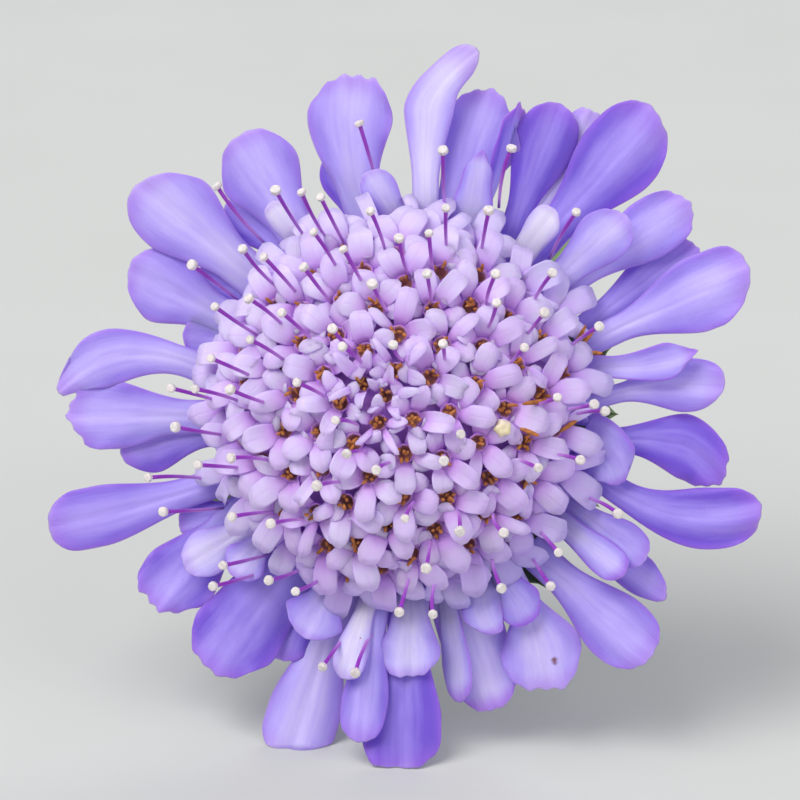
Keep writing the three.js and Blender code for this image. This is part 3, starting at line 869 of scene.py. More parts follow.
def disc_skin(name, colours):
    """The lobes of the disc florets: pale faces, pinker edges, pinker roots in part painted shade,
    painted paler on the dome's lit side and violet on its shaded side, one faint vein.
    """
    skin = Skin(name)
    along = skin.read("along")
    off_middle = skin.maths("ABSOLUTE", skin.read("across"))
    clouds = skin.grain(skin.place, 420, 2)
    # Partly painted shade: the lobe's root takes the deeper root colour, where the lobes overlap.
    shade = skin.less(1.0, skin.steps(along, 0.0, 0.65))
    shade = skin.added(clouds, 0.35, shade)
    shade = skin.added(skin.steps(off_middle, 0.78, 1.0), 0.55, shade)
    shade = skin.less(shade, skin.read("tone"), clamp=True)
    colour = skin.mixed(shade, colours.disc_pale, colours.disc_shade)
    vein = skin.less(1.0, skin.steps(off_middle, 0.0, 0.09))
    vein = skin.times(vein, skin.steps(along, 0.25, 0.5))
    colour = skin.mixed(skin.times(vein, 0.16), colour, colours.disc_shade)
    fine = skin.grain(skin.place, 3000, 2)
    return skin.finished(
        Base_Color=skin.mixed(skin.read("violet"), colour, colours.petal_middle),
        Normal=skin.bump(skin.added(fine, 0.3, skin.less(1.0, vein)), 0.35, 0.04),
        Roughness=skin.added(fine, 0.16, 0.42),
        Specular_IOR_Level=0.35,
        Subsurface_Weight=0.5,
        Subsurface_Scale=0.9 * METRES,
        Subsurface_Radius=(1.0, 0.75, 1.2),
    )


def throat_skin(name, colours):
    """The funnel of a disc floret: pale outside and at the mouth, mauve brown within, deepening
    inside as partly painted shade.
    """
    skin = Skin(name)
    depth = skin.added(skin.grain(skin.place, 900, 3), 0.5, skin.read("depth"))
    return skin.finished(
        Base_Color=skin.mixed(skin.steps(depth, 0.25, 0.9), colours.disc_shade, colours.throat),
        Normal=skin.bump(skin.grain(skin.place, 1800, 3), 0.4, 0.06),
        Roughness=0.6,
        Subsurface_Weight=0.15,
        Subsurface_Scale=0.5 * METRES,
    )


def grained_skin(name, colour, shade, scale, roughness, dent, amount=0.6):
    """Grainy tissue: a colour that clouds over into its shade, with small bumps of that size."""
    skin = Skin(name)
    clouds = skin.steps(skin.grain(skin.place, scale, 4), 0.35, 0.7)
    return skin.finished(
        Base_Color=skin.mixed(skin.times(clouds, amount), colour, shade),
        Normal=skin.bump(skin.grain(skin.place, scale * 1.7, 4), 0.8, dent),
        Roughness=roughness,
        Subsurface_Weight=0.1,
        Subsurface_Scale=0.4 * METRES,
    )


def down_skin(name, colours):
    """The pale hairs of the stalk and the bracts."""
    return grained_skin(name, colours.green_pale, colours.green, 900, 0.6, 0.02)


def style_skin(name, colours):
    """The thread of a style: deep purple near its head, pink lilac near its root."""
    skin = Skin(name)
    along = skin.added(skin.grain(skin.place, 700, 2), 0.2, skin.read("along"))
    return skin.finished(
        Base_Color=skin.mixed(skin.steps(along, 0.15, 0.85), colours.style_root, colours.style),
        Normal=skin.bump(skin.grain(skin.place, 2500, 2), 0.3, 0.03),
        Roughness=0.4,
        Subsurface_Weight=0.12,
        Subsurface_Scale=0.3 * METRES,
    )


def green_skin(name, colours, stripe_scale):
    """Green tissue with paler ribs along it and a down of fine flecks."""
    skin = Skin(name)
    flecks = skin.steps(skin.grain(skin.place, 1500, 3), 0.55, 0.75)
    clouds = skin.grain(skin.place, 180, 3)
    stripes = skin.steps(skin.grain(skin.uv(), 1.0, 2, (stripe_scale, 1.2, 1)), 0.45, 0.7)
    lightness = skin.added(flecks, 0.3, skin.times(stripes, 0.35))
    lightness = skin.times(lightness, clouds, clamp=True)
    dark = skin.mixed(clouds, darker(colours.green, 0.55), colours.green)
    return skin.finished(
        Base_Color=skin.mixed(lightness, dark, colours.green_pale),
        Normal=skin.bump(skin.maths("ADD", flecks, stripes), 0.4, 0.06),
        Roughness=skin.added(clouds, 0.25, 0.45),
        Subsurface_Weight=0.1,
        Subsurface_Scale=0.6 * METRES,
    )


def floor_skin(name):
    """The floor's even grey, a little cloudy."""
    skin = Skin(name)
    tint = skin.mixed(skin.grain(skin.place, 30, 3), FLOOR["dark"], FLOOR["light"])
    return skin.finished(Base_Color=tint, Roughness=0.75)


# ---- The studio ----


class SCABIOSA_OT_studio(bpy.types.Operator):
    """Sets up the pale floor, the soft lights and the camera"""

    bl_idname = "scabiosa.studio"
    bl_label = "Studio"

    def execute(self, context):
        scene = context.scene
        scene.view_settings.view_transform = "Standard"
        floor = plain("floor", "plane", size=FLOOR["size"], location=(0, 0, 0))
        floor.data.materials.append(floor_skin("pale floor"))
        floor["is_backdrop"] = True

        right, upward, back = camera_directions()
        middle = HEAD_MIDDLE * METRES
        for name, ((aside, above, behind), size, power, colour) in LIGHTS.items():
            offset = right * aside + upward * above + back * behind
            bpy.ops.object.light_add(type="AREA", location=middle + offset)
            light = context.object
            light.name = name
            light.rotation_euler = offset.to_track_quat("Z", "Y").to_euler()
            light.data.shape = "DISK"
            light.data.size = size
            light.data.energy = power
            light.data.color = colour
        world = bpy.data.worlds.new("soft studio")
        world.use_nodes = True
        sky = world.node_tree.nodes["Background"]
        sky.inputs["Color"].default_value = SKY["colour"]
        sky.inputs["Strength"].default_value = SKY["strength"]
        scene.world = world

        off_middle = right * (IMAGE_WIDTH / 2 - MIDDLE_PIXEL[0])
        off_middle += upward * (MIDDLE_PIXEL[1] - IMAGE_WIDTH / 2)
        target = HEAD_MIDDLE + off_middle / PIXELS_PER_MM
        bpy.ops.object.camera_add(location=(target + back * CAMERA["distance"]) * METRES)
        camera = context.object
        camera.name = "camera"
        camera.rotation_euler = back.to_track_quat("Z", "Y").to_euler()
        camera.data.lens = CAMERA["lens"]
        camera.data.sensor_width = CAMERA["sensor"]
        camera.data.clip_start = 0.01
        camera.data.clip_end = 30
        scene.camera = camera
        return {"FINISHED"}


# ---- Stalk ----


def hairs_on(places, length, name, draw):
    """Hairs at the given points, each pointing along its direction and bent a little."""
    shape = {"vertices": 3, "radius1": 0.5, "radius2": 0.0, "depth": 1}
    model = plain("hair", "cone", location=(0, 0, 0.5), **shape)
    hairs = []
    for point, direction in places:
        tilt = Vector((draw.uniform(-1, 1), draw.uniform(-1, 1), draw.uniform(-1, 1)))
        turn = towards((direction + tilt * HAIR["tilt"]).normalized())
        size = stretched(HAIR["thickness"], length * draw.uniform(0.55, 1.15))
        hairs.append(copy_of(model, "hair", Matrix.Translation(point) @ turn @ size))
    discard(model)
    return join(hairs, name)


def stalk_radius(share):
    """The stalk's radius at a share of its length, from the head down."""
    return STALK["top"] + (STALK["cut"] - STALK["top"]) * share


def stalk_line():
    """The stalk's path: out of the receptacle along the head's axis, down, and along the floor."""
    place = Matrix.Scale(1 / METRES, 4) @ HEAD
    axis = (place.to_3x3() @ Vector((0, 0, -1))).normalized()
    start = place @ Vector((0, 0, RECEPTACLE[0][1] - STALK["gap"]))
    height = STALK["cut"]
    landing = -2 * (start.z - height) / (axis.z / axis.y)
    touch = Vector((start.x + STALK["sway"] / 2, start.y + landing, height))
    corner = Vector((start.x, start.y + landing / 2, height))
    hanging = bent_line(start, corner, touch)
    along_floor = Vector((STALK["sway"] / 2, STALK["lying"], 0))
    steps = 40
    path = [hanging(step / steps)[0] for step in range(steps + 1)]
    arc = sum((end - start).length for start, end in zip(path, path[1:]))
    bend = arc / (arc + along_floor.length)

    def at(share):
        if share < bend:
            return hanging(share / bend)
        return touch + along_floor * ((share - bend) / (1 - bend)), along_floor.normalized()

    return at


class SCABIOSA_OT_stalk(bpy.types.Operator):
    """Makes the ribbed, downy stalk with its cut end"""

    bl_idname = "scabiosa.stalk"
    bl_label = "Stalk"

    def execute(self, context):
        draw = random.Random(SEEDS["stalk"])
        line = stalk_line()
        sides = 4 * STALK_RIBS["count"]
        stalk = rod("stalk", sides, STALK_RIBS["rings"], "NGON", UP)
        select_faces(stalk, lambda middle: middle.z > 0.999 or middle.z < 0.001)
        bpy.ops.mesh.inset(thickness=STALK_END["rim"])
        bpy.ops.mesh.inset(thickness=STALK_END["ring"])
        pith = STALK_END["pith"]
        select_faces(stalk, lambda middle: middle.z > 0.999 and middle.xy.length < pith)
        bpy.ops.transform.translate(value=(0, 0, -STALK_END["dent"]))
        leave_edit()

        def shape(co):
            turn = turn_of(co)
            rib = STALK_RIBS["depth"] * math.cos(STALK_RIBS["count"] * turn)
            bumps = noise.noise(Vector((math.cos(turn), math.sin(turn), co.z * 26)))
            radius = co.xy.length * stalk_radius(co.z) * (1 + rib + STALK_RIBS["uneven"] * bumps)
            point, forward = line(co.z)
            point -= forward * STALK["into_head"] * max(0, 1 - 8 * co.z)
            side, normal = directions(forward)
            return point + side * radius * math.cos(turn) + normal * radius * math.sin(turn)

        reshape(stalk, shape)
        hair_places = []
        for _ in range(HAIRS["stalk"]):
            share = draw.uniform(0.0, 0.75)
            turn = draw.uniform(0, 2 * math.pi)
            point, forward = line(share)
            side, normal = directions(forward)
            out = side * math.cos(turn) + normal * math.sin(turn)
            radius = stalk_radius(share) * 0.98
            if (point + out * (radius + 0.6)).z > 0:
                hair_places.append((point + out * radius, out - forward * 0.3))
        sizes, colours = settings(context)
        hair = hairs_on(hair_places, sizes.hair_length / METRES, "stalk_down", draw)
        hand_over(stalk, LYING, green_skin("stalk skin", colours, 20), "stalk", "stem")
        hand_over(hair, LYING, down_skin("down", colours), "stalk")
        return {"FINISHED"}


# ---- Receptacle and bracts ----


def leaf_half(leaf, share):
    """Half the width of a bract's leaf at a share of its length."""
    widening = leaf["foot"] + leaf["swell"] * share
    return (leaf["width"] / 2) * widening * (1 - share) ** leaf["taper"]


def lay_leaf(model, name, leaf, line, phase):
    """A bract shaped from its blank and laid along a line."""

    def shape(co):
        fold = leaf["cup"] * co.x * co.x - leaf["keel"] * (1 - abs(co.x))
        fold += leaf["wave"] * math.sin(phase + leaf["waves"] * co.y) * co.x
        half = leaf_half(leaf, co.y) + leaf["edge"]
        return Vector((co.x * half, co.y, co.z * leaf["thick"] + fold))

    piece = copy_of(model, name)
    reshape(piece, shape)
    lay_along(piece, line)
    return piece


class SCABIOSA_OT_involucre(bpy.types.Operator):
    """Makes the receptacle and its ring of narrow hairy bracts"""

    bl_idname = "scabiosa.involucre"
    bl_label = "Receptacle and bracts"

    def execute(self, context):
        draw = random.Random(SEEDS["bracts"])
        sizes, colours = settings(context)
        body = drawn_up("receptacle", 30, RECEPTACLE)
        smooth_over(body)
        finish_modifiers(body)
        model = blank("bract blank", 4, 8)
        bracts = []
        hair_places = []
        for i in range(BRACTS):
            heading = (360 / BRACTS) * i + 9 * math.sin(4 * i)
            length = BRACT["length"] * (0.9 + 0.14 * math.cos(3 * i))
            sag = 0.9 + 0.4 * math.sin(2 * i)
            tip_height = BRACT["tip_height"] - 0.8 * math.cos(2 * i)
            line = bent_line(
                around(BRACT["root"], heading, BRACT["root_height"]),
                around(BRACT["root"] + length / 2, heading, BRACT["root_height"] - sag),
                around(BRACT["root"] + length, heading + 3 * math.sin(5 * i), tip_height),
            )
            bracts.append(lay_leaf(model, "bract", BRACT_LEAF, line, draw.uniform(0, 6.3)))
            for _ in range(HAIRS["each bract"]):
                share = draw.uniform(0.05, 0.95)
                edge = draw.choice((-1, 1)) * draw.uniform(0.2, 1.0)
                half = leaf_half(BRACT_LEAF, share)
                point, forward = line(share)
                side, normal = directions(forward)
                below = draw.choice((-0.15, -0.15, 0.15))
                out = side * edge * 0.9 + normal * below * 6
                hair_places.append((point + side * edge * half + normal * below, out.normalized()))
        inner = self.inner_bracts(model, draw)
        discard(model)
        whole = join([body, *bracts], "bracts")
        for _ in range(HAIRS["receptacle"]):
            turn = draw.uniform(0, 360)
            height = draw.uniform(-8.4, -4.2)
            radius = self.radius_at(height)
            hair_places.append((around(radius, turn, height), around(1, turn, -0.2).normalized()))
        hair = hairs_on(hair_places, sizes.hair_length / METRES, "bract_down", draw)
        hand_over(whole, HEAD, green_skin("bract skin", colours, 7), "bract", "involucre")
        hand_over(hair, HEAD, down_skin("bract down", colours), "bract")
        hand_over(inner, HEAD, green_skin("inner bract skin", colours, 7), "bract")
        return {"FINISHED"}

    def inner_bracts(self, model, draw):
        """The inner row of bracts: one leaf behind each ray floret, which closes the head there."""
        pieces = []
        for number, ((_, throat_heading), _) in enumerate(RAY_FLORETS):
            heading = throat_heading + draw.uniform(-2, 2)
            under = 0.5 * (number % 2) + draw.uniform(0, 0.2)
            reach = INNER_BRACT_TIP["reach"] + draw.uniform(-0.9, 0.6)
            line = bent_line(
                around(INNER_BRACT["root"], heading, INNER_BRACT["root_height"] - under),
                around(INNER_BRACT["belly"], heading, INNER_BRACT["belly_height"] - under),
                around(reach, heading, INNER_BRACT_TIP["height"]),
            )
            phase = draw.uniform(0, 2 * math.pi)
            pieces.append(lay_leaf(model, "inner bract", INNER_BRACT_LEAF, line, phase))
        return join(pieces, "inner_bracts")

    def radius_at(self, height):
        """The receptacle's radius at a height."""
        for (low_radius, low), (high_radius, high) in zip(RECEPTACLE, RECEPTACLE[1:]):
            if height <= high:
                return low_radius + (high_radius - low_radius) * (height - low) / (high - low)
        return RECEPTACLE[-1][0]


# ---- Ray florets ----


def petal_outline(share, neck, tip):
    """A ray lobe's half width at a share of its length, where its widest is 1."""
    claw = LOBE_OUTLINE["claw"]
    rise = max(0, min(1, (share - claw) / (LOBE_OUTLINE["widest"] - claw)))
    beyond = max(0, (share - LOBE_OUTLINE["widest"]) / (1 - LOBE_OUTLINE["widest"]))
    return (neck + (1 - neck) * rise * rise * (3 - 2 * rise)) * (1 - (1 - tip) * beyond * beyond)


class SCABIOSA_OT_ray_florets(bpy.types.Operator):
    """Makes the ray florets: each a tube with its spreading, ruffled lobes"""

    bl_idname = "scabiosa.ray_florets"
    bl_label = "Ray florets"

    def execute(self, context):
        draw = random.Random(SEEDS["rays"])
        sizes, colours = settings(context)
        skin = petal_skin("ray petal", colours)
        large = blank("petal blank", *LARGE_SHEET, smooth=True)
        small = blank("petal blank", *SMALL_SHEET, smooth=True)
        tube_model = self.tube_blank()
        for number, (throat, lobes) in enumerate(RAY_FLORETS, 1):
            pieces = [self.tube(tube_model, throat)]
            for each in lobes:
                model = large if each["width"] > LARGE_LOBE else small
                pieces.append(self.lay_lobe(model, throat, each, sizes, draw))
            floret = join(pieces, f"ray_floret_{number:02d}")
            hand_over(floret, HEAD, skin, "ray_petal", "ray_florets")
        hand_over(self.collar(), HEAD, skin, "ray_petal", "ray_florets")
        discard(large, small, tube_model)
        return {"FINISHED"}

    def lay_lobe(self, model, throat, look, sizes, draw):
        """One lobe, cupped, ruffled and notched, laid from its throat to its tip."""
        radius, throat_heading = throat
        heading, lift, width = look["heading"], look["lift"], look["width"]
        root_heading = (throat_heading + heading) / 2
        root = around(radius, root_heading, THROAT_HEIGHT + 0.35 * max(-1, min(1.2, lift)))
        tip = around(look["reach"], heading, lift)
        run = tip - root
        left = Vector((-run.y, run.x, 0)).normalized()
        corner = (root + tip) / 2 + left * 2 * look["bow"]
        corner.z += 0.12 * abs(lift - THROAT_HEIGHT) + 0.25
        line = bent_line(root, corner, tip)
        blunt = min(0.5, LOBE_OUTLINE["round"] * width / run.length)
        blunt *= 1 - HOOK["sharpens"] * abs(look["hook"])
        phases = [draw.uniform(0, 2 * math.pi) for _ in range(6)]
        notch_place = draw.uniform(-0.35, 0.35)
        slant = look["slant"] + draw.uniform(-0.03, 0.03)
        ruffle = look["ruffle"] * sizes.petal_ruffle
        thickness = sizes.petal_thickness / METRES
        size = width / 5

        def move(co):
            q = max(-1, min(1, co.x))
            share = max(0, min(1, co.y))
            outline = petal_outline(share, look["neck"], look["tip"])
            blade = max(0, (share - 0.35) / 0.65) ** 1.3
            end = share**6
            pleat = phases[1] + 6 * q + 1.5 * share
            crenate = LOBE_END["crenate"] * math.sin(phases[0] + 6 * q)
            crenate += LOBE_END["crinkle"] * math.sin(phases[5] + 16 * q)
            crenate *= look["ruffle"]
            dip = math.exp(-(((q - notch_place) / 0.4) ** 2)) * LOBE_END["notch"] * look["notch"]
            s = share - blunt * (1 - math.sqrt(1 - 0.96 * q * q)) * share**4
            s += (crenate - dip + slant * q) * end
            point, forward = line(max(0, s))
            side, normal = directions(forward, look["roll"])
            cup = -LOBE_CUP * look["cup"] * width * 0.5 * q * q * (0.35 + 0.65 * (1 - s))
            waves = math.sin(phases[2] + 7 * s + 2 * q) + 0.6 * math.sin(phases[3] + 15 * s - 3 * q)
            frill = 0.5 * math.sin(phases[4] + 24 * s + 5 * q) * abs(q) ** 3
            ruffled = LOBE_RELIEF["ruffle"] * waves * q * q + LOBE_RELIEF["frill"] * frill
            ruffled *= ruffle * s
            broad = LOBE_RELIEF["swell"] * math.sin(phases[5] + 3.2 * s + 1.4 * q) * s
            crease = -LOBE_RELIEF["crease"] * math.exp(-((q / 0.14) ** 2)) * min(1, 3 * s)
            fanned = LOBE_RELIEF["pleat"] * look["fan"] * math.sin(pleat) * blade
            raised = cup + size * (ruffled + broad + crease + fanned + look["curl"] * s**3)
            if look["hook"]:
                hooked = max(0, s - HOOK["starts"]) / (1 - HOOK["starts"])
                turn = -HOOK["turn"] * look["hook"] * min(1, 1.5 * hooked)
                point += side * look["hook"] * hooked**1.6
                side = Matrix.Rotation(turn, 3, normal) @ side
                outline *= 1 - HOOK["narrows"] * abs(look["hook"]) * min(1, 2 * hooked)
            waved = look["ruffle"] * math.sin(phases[4] + 9 * s + 1.2 * q) * blade
            uneven = 1 + LOBE_END["uneven"] * waved
            wide = q * outline * uneven * width / 2
            return point + side * wide + normal * (co.z * thickness * (1.25 - 0.5 * s) + raised)

        piece = copy_of(model, "lobe")
        paint(piece, tone=look["tone"], blush=look["blush"])
        if look["speck"]:
            across, along = look["speck"]
            flat = 2 * run.length / width

            def speck(co):
                return 1 - math.hypot(co.x - across, (co.y - along) * flat) / 0.16

            paint_by(piece, "speck", speck)
        reshape(piece, move)
        return piece

    def tube_blank(self):
        """An open tube 2 across and 1 long, with a wall."""
        tube = rod("tube blank", 14, 8, "NOTHING", AHEAD)
        face_outwards()
        leave_edit()
        thicken(tube, TUBE["wall"], side=-1.0)
        return finish_modifiers(tube)

    def tube(self, model, throat):
        """A floret's tube, from the collar out to its throat, widening as it goes."""
        radius, heading = throat
        line = bent_line(
            around(TUBE["starts"], heading, COLLAR["height"]),
            around(radius - TUBE["bend"], heading, THROAT_HEIGHT - TUBE["sag"]),
            around(radius + 0.5, heading, THROAT_HEIGHT + 0.1),
        )
        tube = copy_of(model, "tube")

        def shape(co):
            wide = TUBE["radius"] + (TUBE["mouth"] - TUBE["radius"]) * co.y * co.y
            deep = TUBE["radius"] * (1 - 0.3 * co.y)
            return Vector((co.x * wide, co.y, co.z * deep))

        reshape(tube, shape)
        lay_along(tube, line)
        paint(tube, tone=0.3, blush=0.2)
        return tube

    def collar(self):
        """The ring of narrow tube roots round the receptacle."""
        ring = plain(
            "ray_floret_collar",
            "torus",
            major_segments=48,
            minor_segments=10,
            major_radius=COLLAR["radius"],
            minor_radius=COLLAR["thick"],
            location=(0, 0, COLLAR["height"]),
        )

        def flute(co):
            out = COLLAR["flute_depth"] * math.cos(COLLAR["flutes"] * turn_of(co))
            return co + Vector((co.x, co.y, 0)).normalized() * out

        reshape(ring, flute)
        paint(ring, tone=0.35, blush=0.1)
        return ring


# ---- Disc florets ----


def florets(draw):
    """Where each disc floret sits, how open it is and how far out, from the middle outwards."""
    for number in range(DISC_FLORETS):
        share = (number + 0.5) / DISC_FLORETS
        place = disc_place(share, number * GOLDEN_TURN)
        twist = Matrix.Rotation(math.radians(draw.uniform(-26, 26)), 4, "Z")
        open_share = min(1, 0.3 + 8 * share)
        yield place, twist, open_share, share


def shaded_share(place):
    """How far towards the dome's shaded side a floret stands, from -1 to 1."""
    return math.cos(turn_of(place.to_translation()) - math.radians(SHADED_HEADING))


class SCABIOSA_OT_disc_corollas(bpy.types.Operator):
    """Makes the crowded disc florets: a funnel each, with five rounded lobes"""

    bl_idname = "scabiosa.disc_corollas"
    bl_label = "Disc florets"

    def execute(self, context):
        draw = random.Random(SEEDS["disc"])
        sizes, colours = settings(context)
        lobe_model = blank("disc lobe blank", 6, 4)
        funnel = self.funnel_model()
        zones = {zone: [] for zone in ZONE_ENDS}
        funnels = []
        for place, twist, open_share, share in florets(draw):
            zone = next(zone for zone, end in ZONE_ENDS.items() if share < end)
            grown = stretched(0.8 + 0.25 * open_share, 1)
            funnels.append(copy_of(funnel, "funnel", place @ grown))
            for parts in FLORET_LOBES:
                piece = self.lobe(lobe_model, place, parts, open_share, share, sizes, draw)
                piece.data.transform(place @ twist)
                zones[zone].append(piece)
        skin = disc_skin("disc petal", colours)
        for zone, pieces in zones.items():
            piece = join(pieces, f"disc_corollas_{zone}")
            hand_over(piece, HEAD, skin, "disc_petal", "disc_florets")
        throats = join(funnels, "disc_throats")
        hand_over(throats, HEAD, throat_skin("disc throat", colours), "disc_petal", "disc_florets")
        bed_skin = throat_skin("floret bed", colours)
        hand_over(self.bed(), HEAD, bed_skin, "disc_petal", "disc_florets")
        cream = grained_skin(
            "closed floret", colours.bud, colours.disc_shade, 700, 0.6, 0.06, amount=0.25
        )
        hand_over(self.closed_floret(), HEAD, cream, "disc_petal")
        discard(lobe_model, funnel)
        return {"FINISHED"}

    def lobe(self, model, place, parts, open_share, share, sizes, draw):
        """One lobe of a disc floret. It lies over the florets further out, and is longer there."""
        heading, size, lift = parts
        turn = heading * (1 - 0.34 * share) + draw.uniform(*DISC_LOBE["turn"])
        outer = (1 + math.cos(math.radians(turn))) / 2
        closed = 1 - open_share
        grown = size * (1 + 0.5 * outer * share**1.6) * (1 - 0.12 * closed)
        length = sizes.disc_lobe_length / METRES * grown * draw.uniform(*DISC_LOBE["length"])
        width = sizes.disc_lobe_width / METRES * (0.5 + 0.5 * grown) * (1 - 0.1 * share)
        width *= draw.uniform(*DISC_LOBE["width"])
        width *= (1 - 0.62 * closed) * (0.6 if draw.random() < 0.1 else 1)
        reach = length * (0.96 - 0.25 * closed)
        start = around(LOBE_START, turn, -0.45)
        tip_height = lift + length * 0.6 * closed - 0.35 * outer * share**1.6
        end = around(LOBE_START + reach, turn, tip_height + draw.uniform(*DISC_LOBE["rise"]))
        rise = 0.3 + lift + 0.4 * length * closed + draw.uniform(*DISC_LOBE["rise"])
        corner = around(0.6 + 0.4 * reach, turn, rise)
        line = bent_line(start, corner, end)
        thick = draw.uniform(*DISC_LOBE["thick"]) * (1 - 0.5 * closed)
        cupped = draw.uniform(*DISC_LOBE["cup"]) * (1 if draw.random() < 0.75 else -0.8)
        crease = draw.uniform(*DISC_LOBE["crease"])
        phase = draw.uniform(0, 2 * math.pi)
        blunt = 0.5 * width / length
        lean = draw.uniform(*DISC_LOBE["lean"]) * (1 + 3 * closed)
        piece = copy_of(model, "lobe")
        shaded = 0.5 + 0.5 * shaded_share(place)
        # Painted shade: the outer florets' lobes turn violet towards the dome's shaded side.
        violet = max(0, (share - 0.6) * 1.8 * shaded + draw.uniform(-0.2, 0.15))
        # Painted light and shade: a random tone, made paler on the dome's lit side and darker on its
        # shaded side.
        tone = draw.uniform(-0.15, 0.2) + 0.4 * share * (0.5 - shaded)
        paint(piece, tone=tone, violet=min(0.75, violet) * (0.3 + 0.7 * outer))
        paint_by(piece, "along", lambda co: co.y)
        paint_by(piece, "across", lambda co: co.x)

        def shape(co):
            x = math.sin(math.pi / 2 * max(-1, min(1, co.x)))
            swell = 0.6 + 0.4 * math.sin(math.pi / 2 * min(1, co.y / 0.55))
            swell *= 1 - 0.7 * closed * co.y * co.y
            round_end = 1 - math.sqrt(1 - 0.97 * x * x)
            long = co.y - blunt * round_end * co.y * co.y + 0.03 * math.sin(phase + 4 * x) * co.y**4
            wave = 0.07 * math.sin(phase + 5 * co.y + 2 * x)
            fold = crease * (1 - min(1, abs(x) / 0.5))
            z = co.z * thick * (1 - 0.5 * abs(x)) - cupped * x * x * (0.5 + 0.5 * co.y)
            return Vector((x * swell * width / 2, long, z + wave - fold))

        reshape(piece, shape)
        lay_along(piece, line, lean)
        return piece

    def funnel_model(self):
        """A disc floret's tube and throat, drawn up ring by ring and turned in at its mouth."""
        funnel = drawn_up("funnel", 9, [ring[:2] for ring in FUNNEL_RINGS])

        def depth(co):
            nearest = min(
                FUNNEL_RINGS, key=lambda ring: abs(ring[1] - co.z) + abs(ring[0] - co.xy.length)
            )
            return nearest[2]

        paint_by(funnel, "depth", depth)
        return funnel

    def bed(self):
        """The bed between the florets, fluted by their tubes, lilac below and browner above."""
        sides = 4 * BED["flutes"]
        bed = plain("floret_bed", "uv_sphere", segments=sides, ring_count=28, radius=1)
        resize(bed, (BED["radius"], BED["radius"], BED["height"]))

        def settle(co):
            out = co + co.normalized() * noise.noise(co * 1.3) * 0.25
            flute = BED["flute_depth"] * math.cos(BED["flutes"] * turn_of(co))
            out += Vector((co.x, co.y, 0)) / BED["radius"] * flute
            out.z = max(out.z, BED["foot"])
            return out

        reshape(bed, settle)
        paint_by(bed, "depth", lambda co: 0.2 if co.z > BED["lilac_below"] else 0.1)
        return bed

    def closed_floret(self):
        """The one floret that is still closed: a fluted button."""
        button = plain("closed_floret", "uv_sphere", segments=20, ring_count=12, radius=0.5)

        def flute(co):
            folded = 1 - 0.22 * abs(math.cos(2.5 * turn_of(co) + 2 * co.z))
            dimple = 0.35 * max(0, co.z) * math.exp(-30 * co.xy.length_squared)
            wide = CLOSED_FLORET["width"] * folded
            return Vector((co.x * wide, co.y * wide, (co.z - dimple) * CLOSED_FLORET["height"]))

        reshape(button, flute)
        place = on_dome(CLOSED_FLORET["pixel"], CLOSED_FLORET["above"])
        wide, high = DOME["radius"] ** 2, DOME["height"] ** 2
        lean = Vector((place.x / wide, place.y / wide, place.z / high))
        button.data.transform(Matrix.Translation(place) @ towards(lean))
        return button


class SCABIOSA_OT_anthers(bpy.types.Operator):
    """Makes the grainy anthers in the throats and the long stamens at the dome's edge"""

    bl_idname = "scabiosa.anthers"
    bl_label = "Anthers"

    def execute(self, context):
        draw = random.Random(SEEDS["anthers"])
        sizes, colours = settings(context)
        length = sizes.anther_length / METRES
        model = plain("anther", "uv_sphere", segments=7, ring_count=6, radius=0.5)
        anthers = []
        for place, twist, _, share in florets(draw):
            count = draw.choice(ANTHER_COUNTS["middle" if share < ZONE_ENDS["middle"] else "edge"])
            if share > 0.3 and shaded_share(place) < -0.3:
                count //= 3
            for index in range(count):
                turn = 67 * index + draw.uniform(-30, 30)
                reach = draw.uniform(0.1, 0.52)
                out = around(reach, turn, draw.uniform(-0.2, 0.35))
                tilt = Matrix.Rotation(math.radians(draw.uniform(20, 95)), 4, "Y")
                turned = Matrix.Rotation(math.radians(turn + draw.uniform(-40, 40)), 4, "Z")
                long = length * draw.uniform(0.5, 0.9) * (1.7 if index % 3 == 0 else 1)
                size = stretched(ANTHER_THICKNESS, long)
                stands = place @ twist @ Matrix.Translation(out) @ turned @ tilt @ size
                anthers.append(copy_of(model, "anther", stands))
        for root_pixel, tip_pixel in STAMEN_PIXELS:
            root = on_dome(root_pixel, STAMEN["root"])
            tip = on_dome(tip_pixel, STAMEN["tip"])
            run = tip - root
            size = stretched(STAMEN["thickness"], run.length)
            stands = Matrix.Translation((root + tip) / 2) @ towards(run) @ size
            anthers.append(copy_of(model, "anther", stands))
        discard(model)
        brown = darker(colours.anther, 0.45)
        skin = grained_skin("anther dust", colours.anther, brown, 2600, 0.85, 0.09, amount=0.9)
        hand_over(join(anthers, "anthers"), HEAD, skin, "disc_petal")
        return {"FINISHED"}


